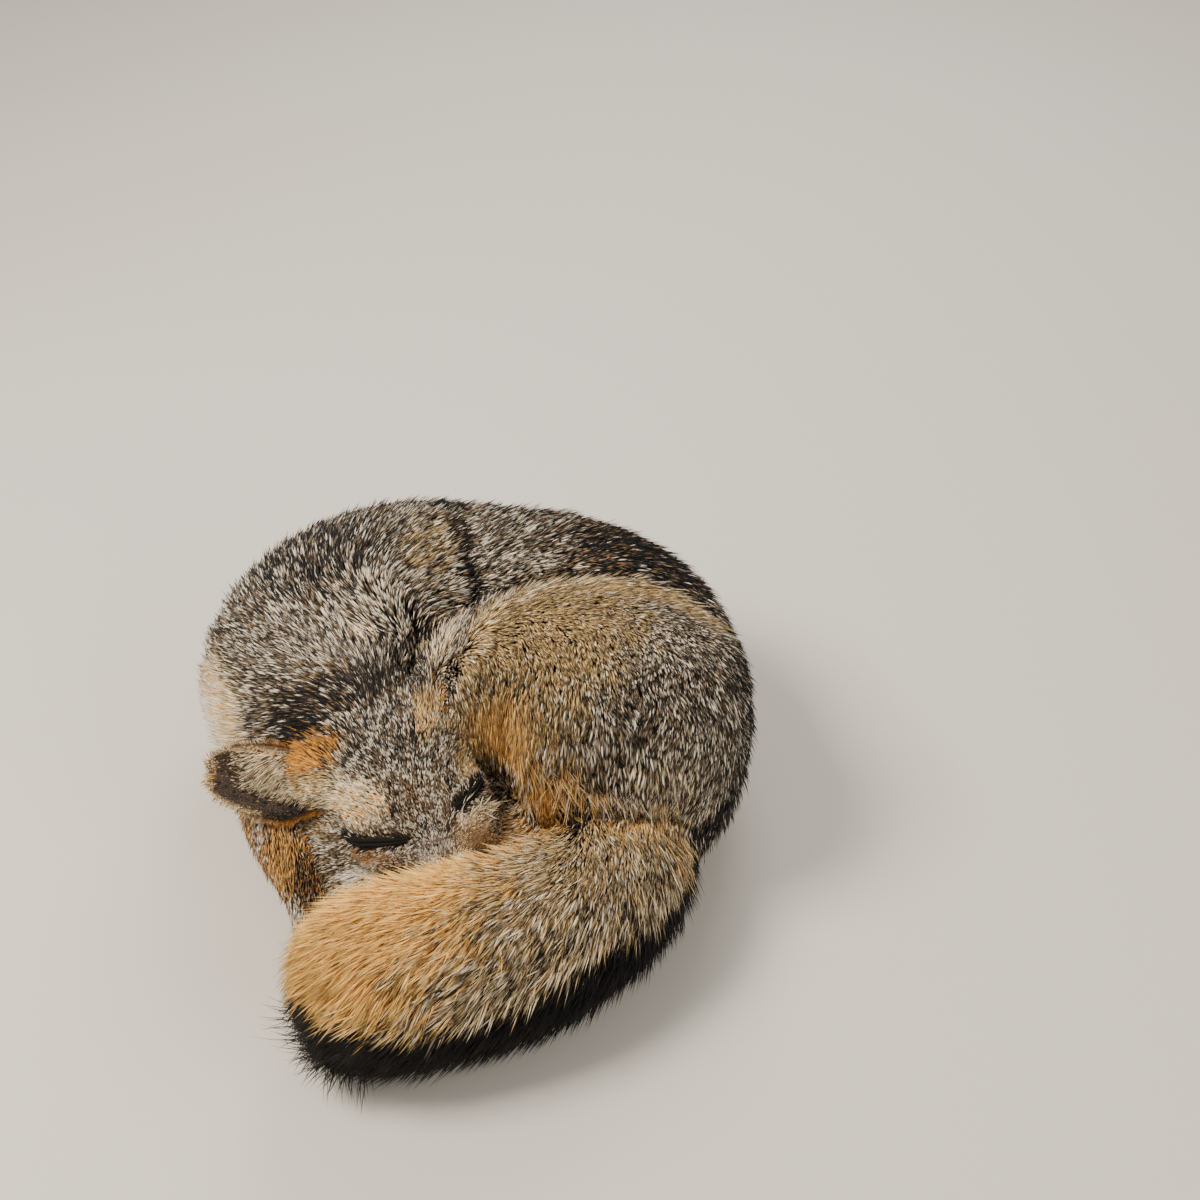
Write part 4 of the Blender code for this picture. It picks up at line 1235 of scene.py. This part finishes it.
# %% The coat, part by part
LEGS = [name for name in FLESH if name.startswith(("foreleg", "hindleg")) and name != "hindleg_left_thigh"]
TAIL_LOCKS = {"stray": 0.15, "lock": 3.8, "gather": 0.42, "fuzz": 0.0055, "relief": 0.0020}
grow("coat_head", body_ground, squares_of("head"), 195000, width=0.62, stray=0.10, wave=0.15, lump=6, lock=2.0,
     gather=0.70, alike=0.85, seed=1)
grow("coat_neck", body_ground, squares_of("neck"), 165000, width=0.95, seed=2)
grow("coat_chest", body_ground, squares_of("chest"), 190000, width=1.1, seed=3)
grow("coat_back", body_ground, squares_of("loin", "rump"), 190000, width=1.15, lock=3.0, seed=4)
grow("coat_haunch", body_ground, squares_of("hindleg_left_thigh"), 190000, width=1.1, wave=0.24, seed=5)
grow("coat_tail_base", body_ground, squares_of("tail_base", "tail_middle"), 195000, width=0.85, wave=0.28,
     seed=6, **TAIL_LOCKS)
grow("coat_tail_end", body_ground, squares_of("tail_tip"), 150000, width=0.8, wave=0.24, seed=7, **TAIL_LOCKS)
grow("coat_legs", body_ground, squares_of(*LEGS), 80000, width=0.75, lock=2.0, seed=8)

# %% [markdown]
# Long loose hairs break the edge of the coat in a few places: they curl from the haunch over the hollow in front
# of it, cross the inner corner of the left eye, and stand off the black end of the tail.

# %% Loose hairs
middles, facing = form_co[squares].mean(1), form_no[squares].mean(1)
x, y, z = middles.T
over_the_hollow = (x < 0.11) & (y < -0.025) & (z < 0.118) & (z > 0.08)
low_end = (facing[:, 0] < -0.15) & (y < -0.125) & (z < 0.062)
by_left_eye = np.linalg.norm(middles - [0.0, -0.056, 0.080], axis=1) < 0.011


def where(test, *names):
    """The squares of these nodes that pass a test."""
    found = squares_of(*names)
    return found[test[found]]


LOOSE = {"steps": 5, "stray": 0.30, "wave": 0.45, "gather": 0.1}
loose_ground = dict(body_ground, length=1.35 * length + 4 * MM, settles=False, thick=np.ones(len(squares)), slot={})
grow("hairs_haunch", loose_ground, where(over_the_hollow, "hindleg_left_thigh"), 16000, width=0.42, seed=31, **LOOSE)
grow("hairs_tail", loose_ground, where(low_end, "tail_tip"), 12000, width=0.50, seed=32, **LOOSE)
all_cream = np.tile([name == "cream" for name in COLOURS], (len(form_co), 1)) * 1.0
face_ground = dict(loose_ground, length=1.5 * length + 8 * MM, marks=all_cream)
grow("hairs_face", face_ground, where(by_left_eye, "head"), 1300, width=0.42, seed=33, **LOOSE)

# %% [markdown]
# An ear is a cupped leaf, folded along its middle and open to one side. The shell is a grid bent into that cup,
# with a wall. Its hollow is nearly bare dark skin, with painted shade deep in the cup, long pale hairs from the
# upper edge across it, and a rim of thick cream fur. The back is rufous at the root and grey towards the tip. A
# flat sheet could be bent with a modifier, but hair has to grow from the same surface, so the cup is a formula
# that both shell and hair ask.

# %% The leaf of an ear
EAR_WIDTH, LEAST_HALF_WIDTH = 0.044, 0.0035


class EarLeaf:
    """The cupped leaf of one ear, from base to tip, open to one side. Fold is half the angle that it wraps round."""

    def __init__(self, node, base, tip, opening, fold):
        self.node, self.base, self.fold = node, np.array(base), math.radians(fold)
        self.reach = np.linalg.norm(np.array(tip) - self.base)
        self.along = (np.array(tip) - self.base) / self.reach
        inward = np.array(opening) - self.along * (np.array(opening) @ self.along)
        self.inward = inward / np.linalg.norm(inward)
        self.across = np.cross(self.along, self.inward)

    def at(self, u, v):
        """The leaf's surface: u runs from root to tip, 0 to 1, and v from edge to edge, -1 to 1."""
        u, v = np.broadcast_arrays(np.clip(u, 0.0, 1.0), v)
        outline = (1.0 - 0.10 * np.cos(np.pi * u)) * np.sqrt(np.clip(1.0 - u**2.7, 0.0, 1.0))
        half = 0.5 * EAR_WIDTH * outline * (1 - 0.5 * smooth(0.35, 0.0, u))
        half = np.maximum(half, LEAST_HALF_WIDTH)[..., None]
        wrap = (self.fold * (1.0 - 0.45 * u))[..., None]
        turn = v[..., None] * wrap
        sideways = half * np.sin(turn) / np.sin(wrap)
        sunk = half * (np.cos(turn) - np.cos(wrap)) / np.sin(wrap)
        middle = self.base + self.along * (self.reach * u)[..., None]
        return middle + self.across * sideways - self.inward * sunk

    def facing(self, u, v):
        """The direction that the hollow side faces."""
        step = 0.01
        one = self.at(u + step, v) - self.at(u - step, v)
        two = self.at(u, v + step) - self.at(u, v - step)
        return unit(np.cross(two, one))


ears = [
    EarLeaf("ear_right", (-0.0784, -0.0330, 0.0815), (-0.1499, -0.0080, 0.0735), (0.05, -0.80, 0.60), 62),
    EarLeaf("ear_left", (-0.0204, -0.0129, 0.096), (-0.0314, 0.0511, 0.104), (0.75, 0.25, -0.60), 25),
]
print("ears, mm long:", [round(ear.reach * 1000) for ear in ears])

# %% [markdown]
# The colours of an ear are laid by the place on the leaf. Inside, the rim is cream, long pale hairs reach across
# from the upper edge, and the hollow behind them is dark skin, with painted shade towards the root and the lower
# side. Outside, the root is rufous and the tip darker.

# %% The ears' colours
def ear_zones(u, v, inside):
    """Colours of an ear, as for the body, from the place on the leaf."""
    shade = {name: np.zeros(u.shape) for name in COLOURS}
    rim = np.maximum(smooth(0.78, 0.90, np.abs(v)), smooth(0.86, 0.94, u))
    if inside:
        rim = rim * (1 - smooth(-0.2, -0.5, v) * smooth(0.60, 0.40, u))
        long_hair = smooth(-0.85, 0.10, v) * smooth(1.0, 0.45, u)
        shade["cream"] = np.maximum(rim, 0.80 * long_hair)
        shade["tawny"] = 0.22 * rim
        shade["dark"] = (1 - rim) * (1 - 0.80 * long_hair)
        # The bare inside is dark skin; the extra black towards the root and the lower side is painted shade deep in the
        # cup.
        shade["black"] = (1 - rim) * (1 - long_hair) * (0.40 + 0.40 * smooth(0.55, 0.30, u) * smooth(0.1, -0.2, v))
    else:
        shade["rufous"] = 0.95 * smooth(0.62, 0.30, u)
        shade["black"] = 0.35 * smooth(0.35, 0.70, u) * (1 - rim)
        shade["cream"] = 0.9 * rim
        shade["tawny"] = 0.22 * rim
    return np.stack([shade[name] for name in COLOURS], axis=-1)


middle_of_leaf = ear_zones(np.array(0.4), np.array(0.0), True).round(2)
print("colours in the middle of the leaf, inside:", dict(zip(COLOURS, middle_of_leaf)))

# %% [markdown]
# The hair of the ears is grown by the same function as the rest, so each side of a leaf is made into a ground: a
# grid of points with their normals, the lie, length and depth of the hair, and the colours. The four grounds, two
# ears and two sides, are then joined and grown as one piece.

# %% The ears' ground
def ear_ground(ear, inside, rows=22, columns=18):
    """One side of an ear as ground for hair, like the body's."""
    u = np.repeat(np.linspace(0.0, 0.985, rows), columns)
    v = np.tile(np.linspace(-0.985, 0.985, columns), rows)
    normal = ear.facing(u, v) * (1.0 if inside else -1.0)
    points = ear.at(u, v) + normal * 0.0007
    first = (np.arange(rows - 1)[:, None] * columns + np.arange(columns - 1)).ravel()
    corners = np.stack([first, first + 1, first + columns + 1, first + columns], axis=1)
    comb = np.tile(ear.along, (len(u), 1))
    rim = np.maximum(smooth(0.72, 0.88, np.abs(v)), smooth(0.84, 0.95, u))
    if inside:
        upper = smooth(-0.75, 0.20, v) * smooth(0.92, 0.40, u)
        comb = comb * (0.95 - 0.25 * upper)[:, None] - ear.across * (0.75 * upper * (1 - rim))[:, None]
        hair = 2.6 + 14.0 * upper * (1 - rim) + 0.4 * rim
        rise = 1.2 + 3.0 * upper + 0.8 * rim
        thick = 0.7 + 0.6 * upper + 2.0 * rim
    else:
        hair = 6.5 - 2.0 * u
        rise = np.full(len(u), 1.0)
        thick = 0.9 + 1.2 * rim
    comb = comb + ear.across * (np.sign(v) * rim * 0.7)[:, None] + normal * (0.3 * rim)[:, None]
    return {
        "form": points, "root": points, "normal": normal, "lie": unit(comb), "length": hair * MM,
        "depth": rise * MM, "marks": ear_zones(u, v, inside), "squares": corners,
        "thick": thick[corners].mean(1), "settles": False, "slot": {"coat_ears": "ear_coat"},
    }


def together(grounds):
    """Several grounds as one."""
    whole = {}
    counts = np.cumsum([0] + [len(g["root"]) for g in grounds])
    for key, value in grounds[0].items():
        if isinstance(value, np.ndarray):
            parts = [g[key] + counts[i] if key == "squares" else g[key] for i, g in enumerate(grounds)]
            whole[key] = np.concatenate(parts)
        else:
            whole[key] = value
    return whole


ears_ground = together([ear_ground(ear, inside) for ear in ears for inside in (True, False)])
print("squares of the ears' ground:", len(ears_ground["squares"]))

# %% [markdown]
# The shell itself is a grid bent on to the leaf and given a wall with a Solidify modifier. Each of its points takes
# the colours of the side it lies on. Deep in the cup it is painted black as shade, so that the hollow reads as a
# hollow.

# %% The ears' shells and hair
EAR_WALL = 0.0014


def ear_shell(ear):
    """The skin of an ear: the leaf with a wall, in the colours of its two sides."""
    form = bmesh.new()
    sheet = bmesh.ops.create_grid(form, x_segments=30, y_segments=22, size=1.0)
    for vert in sheet["verts"]:
        vert.co = ear.at(np.array(0.485 * (vert.co.x + 1.0)), np.array(0.95 * vert.co.y))
    mesh = bpy.data.meshes.new("shell")
    form.to_mesh(mesh)
    form.free()
    shell = link("shell", mesh)
    wall = shell.modifiers.new("wall", "SOLIDIFY")
    wall.thickness = EAR_WALL
    wall.offset = 0.0
    mesh = finished_mesh(shell)
    mesh.name = ear.node.replace("ear", "ear_shell")
    u, v = np.meshgrid(np.linspace(0, 1, 60), np.linspace(-1, 1, 60), indexing="ij")
    u, v = u.ravel(), v.ravel()
    samples, facing = ear.at(u, v), ear.facing(u, v)
    points = np.array([vert.co for vert in mesh.vertices])
    nearest = np.array([np.argmin(((samples - p) ** 2).sum(1)) for p in points])
    inside = ((points - samples[nearest]) * facing[nearest]).sum(1) > 0
    at_nearest = u[nearest], v[nearest]
    shades = np.where(inside[:, None], ear_zones(*at_nearest, True), ear_zones(*at_nearest, False))
    # Painted shade: deep in the cup the inside of the shell is set fully black.
    hollow = inside & (u[nearest] < 0.42) & (np.abs(v[nearest] + 0.15) < 0.7)
    shades[hollow, BLACK] = 1.0
    set_points(mesh, "hair", np.tile([0.08, 0.4, 0.3], (len(points), 1)))
    set_zones(mesh, shades)
    mesh.materials.append(skin_finish)
    for face in mesh.polygons:
        face.use_smooth = True
    piece = link(mesh.name, mesh)
    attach(piece, "root")
    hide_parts(ear.node)
    return piece


for ear in ears:
    print(ear_shell(ear).name + ":", "a shell of", EAR_WALL * 1000, "mm")
grow("coat_ears", ears_ground, np.arange(len(ears_ground["squares"])), 130000, 4, width=0.55, stray=0.22, wave=0.3,
     lump=4, lock=2.2, gather=0.6, seed=9)

# %% [markdown]
# The eyes are shut. What shows of each is a slim dark line with a thin roll of bare lid above and below it, fattest
# in the middle and hanging a little there. The line is finer than the model's plain solid, so it takes its place.
# Lids, nose, whiskers and claws have no fur, and share one plain finish with a fine grain.

# %% Bare skin, and the nose
def plain_finish(name, colour, roughness, grain, relief):
    """Bare skin or horn: one colour that drifts a little, with a fine grain."""
    finish = bpy.data.materials.new(name)
    finish.use_nodes = True
    tree = finish.node_tree
    shader = tree.nodes["Principled BSDF"]
    where = tree.nodes.new("ShaderNodeTexCoord").outputs["Object"]
    fine = add_node(tree, "ShaderNodeTexNoise", Vector=where, Scale=grain, Detail=4.0).outputs["Fac"]
    light = tuple(min(255, c * 1.5 + 12) for c in colour)
    tree.links.new(colour_ramp(tree, fine, [(0.3, colour), (0.8, light)]), shader.inputs["Base Color"])
    bump = add_node(tree, "ShaderNodeBump", Height=fine, Strength=0.6, Distance=relief)
    tree.links.new(bump.outputs["Normal"], shader.inputs["Normal"])
    shader.inputs["Roughness"].default_value = roughness
    shader.inputs["Specular IOR Level"].default_value = 0.2
    return finish


lid_finish = plain_finish("bare skin of the lids", (9, 8, 8), 0.9, 900.0, 0.0004)
nose_finish = plain_finish("nose leather", (22, 19, 19), 0.45, 1400.0, 0.0004)
for held in bpy.data.objects["nose"].material_slots:
    held.material = nose_finish

# %% [markdown]
# A roll is a line of rings, each turned square to the line, joined by bridging one ring to the next. A curve with a
# bevel would be as quick, but rings can also be flattened, and the ends are closed. Lids, whiskers and claws are
# all rolls.

# %% Rolls
def roll(form, line, radii, flat=1.0, sides=8):
    """A closed tapered tube through the points of a line, bridged ring to ring."""
    line = [Vector(p) for p in line]
    loops = []
    for k, (point, radius) in enumerate(zip(line, radii)):
        heading = (line[min(k + 1, len(line) - 1)] - line[max(k - 1, 0)]).normalized()
        turn = heading.to_track_quat("Z", "Y").to_matrix().to_4x4()
        place = Matrix.Translation(point) @ turn @ Matrix.Diagonal((radius, radius * flat, 1.0, 1.0))
        ends = k in (0, len(line) - 1)
        ring = set(bmesh.ops.create_circle(form, cap_ends=ends, segments=sides, radius=1.0, matrix=place)["verts"])
        loops.append([e for e in form.edges if e.verts[0] in ring and e.verts[1] in ring])
    for first, second in zip(loops, loops[1:]):
        bmesh.ops.bridge_loops(form, edges=first + second)


def piece_of(name, form, finish):
    """A finished piece from a bmesh."""
    bmesh.ops.recalc_face_normals(form, faces=form.faces)
    mesh = bpy.data.meshes.new(name)
    form.to_mesh(mesh)
    form.free()
    for face in mesh.polygons:
        face.use_smooth = True
    mesh.materials.append(finish)
    piece = link(name, mesh)
    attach(piece, "root")
    return piece


print("finishes without fur:", lid_finish.name + ",", nose_finish.name)

# %% [markdown]
# Each shut eye is three rolls that bow apart in the middle and meet at the corners: the dark line of the lashes,
# and a lid on either side of it. They follow the coat's form and are sunk in it by different depths.

# %% Closed lids
LID_ROLLS = [  # how far across the eye, the radius, and how deep it lies; the middle one is the eye's dark line
    (0.0010, 0.0008, 0.0011), (0.0, 0.0012, 0.0022), (-0.0012, 0.0009, 0.0012),
]
LEAST_RADIUS = 0.0002


def closed_eye(name, eye, node):
    """The shut eye: the ball's dark line and the two lids, laid along the coat's form."""
    form = bmesh.new()
    for aside, radius, sunk in LID_ROLLS:
        line, radii = [], []
        for a in np.linspace(-1, 1, 22):
            bow = math.sqrt(max(1 - a * a, 0))
            point = eye.middle + eye.along * (a * eye.half) + eye.across * (aside * bow + LASH_SAG * a * a)
            place, normal, _, _ = form_tree.find_nearest(Vector(point))
            line.append(point - eye.out * ((Vector(point) - place).dot(normal) + sunk))
            radii.append(radius * bow + LEAST_RADIUS)
        roll(form, line, radii)
    piece = piece_of(name, form, lid_finish)
    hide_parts(node)
    return piece


for name, eye, node in zip(("eyelids_right", "eyelids_left"), eyes, ("eye_right", "eye_left")):
    print(name + ":", len(closed_eye(name, eye, node).data.polygons), "faces")

# %% [markdown]
# Whiskers spring from the lips and the brows in long curves. They could be drawn as curve objects with a round
# bevel; a roll tapers more simply, thick at the root and fine at the tip, and is a closed mesh from the start.

# %% Whiskers
def head_point(forward, right, up):
    """A place by the head's own directions, from between the eyes."""
    return BETWEEN_EYES + HEAD_AHEAD * forward + HEAD_RIGHT * right + HEAD_UP * up


def bent_line(start, way, pull, reach, steps=12):
    """A springy hair: it leaves start along way, and pull bends it more and more."""
    t = np.linspace(0, 1, steps)[:, None]
    line = np.array(start) + np.array(way) * reach * t + np.array(pull) * reach * t**2
    line[:, 2] = np.maximum(line[:, 2], ABOVE_FLOOR)
    return line


whisker_finish = plain_finish("whisker", (34, 28, 24), 0.45, 300.0, 0.0)
chance = np.random.default_rng(21)
whiskers = bmesh.new()
for side in (1, -1):
    for k in range(7):
        start = head_point(0.026 - 0.006 * (k % 4), side * (0.016 + 0.003 * (k // 4)), -0.016 - 0.004 * (k // 4))
        way = HEAD_RIGHT * side * 0.85 - HEAD_AHEAD * (0.15 + 0.12 * (k % 4)) + HEAD_UP * (0.10 - 0.06 * (k // 4))
        pull = -HEAD_AHEAD * 0.25 - np.array([0, 0, 0.35]) + chance.normal(0, 0.05, 3)
        line = bent_line(start, way, pull, 0.038 + 0.012 * chance.random())
        roll(whiskers, line, np.linspace(0.00022, 0.00007, len(line)), sides=5)
    for k in range(3):
        start = head_point(-0.004 - 0.004 * k, side * (0.016 + 0.006 * k), 0.004)
        way = HEAD_UP * 0.75 - HEAD_AHEAD * 0.5 + HEAD_RIGHT * side * 0.25
        line = bent_line(start, way, -HEAD_AHEAD * 0.3 - HEAD_UP * 0.3, 0.014)
        roll(whiskers, line, np.linspace(0.00018, 0.00006, len(line)), sides=5)
whiskers = piece_of("whiskers", whiskers, whisker_finish)
print("whiskers:", len(whiskers.data.polygons), "faces")

# %% [markdown]
# A fox's claws are short curved cones of dark horn, flattened from side to side, and half lost in the fur of the
# toes. Each is a roll too: it starts inside the toe, so that no join shows, and droops to its point. The middle toes
# reach a little further than the outer ones. The left hind foot ends tucked in behind the tail, so it has none.

# %% Claws
PAWS = [  # the end of the leg, and which way the toes point
    ((-0.0864, -0.0709), (-0.10, -1.0)), ((-0.0504, -0.0269), (-0.30, -1.0)), ((-0.0124, -0.0569), (-1.0, -0.35)),
]
TOE_PLACES, TOE_SPACING, TOE_HEIGHT = (-1.5, -0.5, 0.5, 1.5), 0.0062, 0.0085
TOE_REACH, TOE_STEP = 0.019, 0.0022  # how far a toe stands ahead of its leg, and how much less for each place out
CLAW_LENGTH, CLAW_DROOP = 0.009, (0, 0, -0.55)
claws = bmesh.new()
for end, toes in PAWS:
    heading = np.array([*toes, 0.0]) / math.hypot(*toes)
    across = np.cross(heading, [0, 0, 1.0])
    for place in TOE_PLACES:
        toe_ahead = TOE_REACH - TOE_STEP * abs(place)
        start = np.array([*end, TOE_HEIGHT]) + heading * toe_ahead + across * place * TOE_SPACING
        line = bent_line(start, heading, CLAW_DROOP, CLAW_LENGTH, 7)
        roll(claws, line, np.linspace(0.0012, 0.0002, len(line)), flat=0.7, sides=7)
claws = piece_of("claws", claws, whisker_finish)
print("claws:", len(claws.data.polygons), "faces")
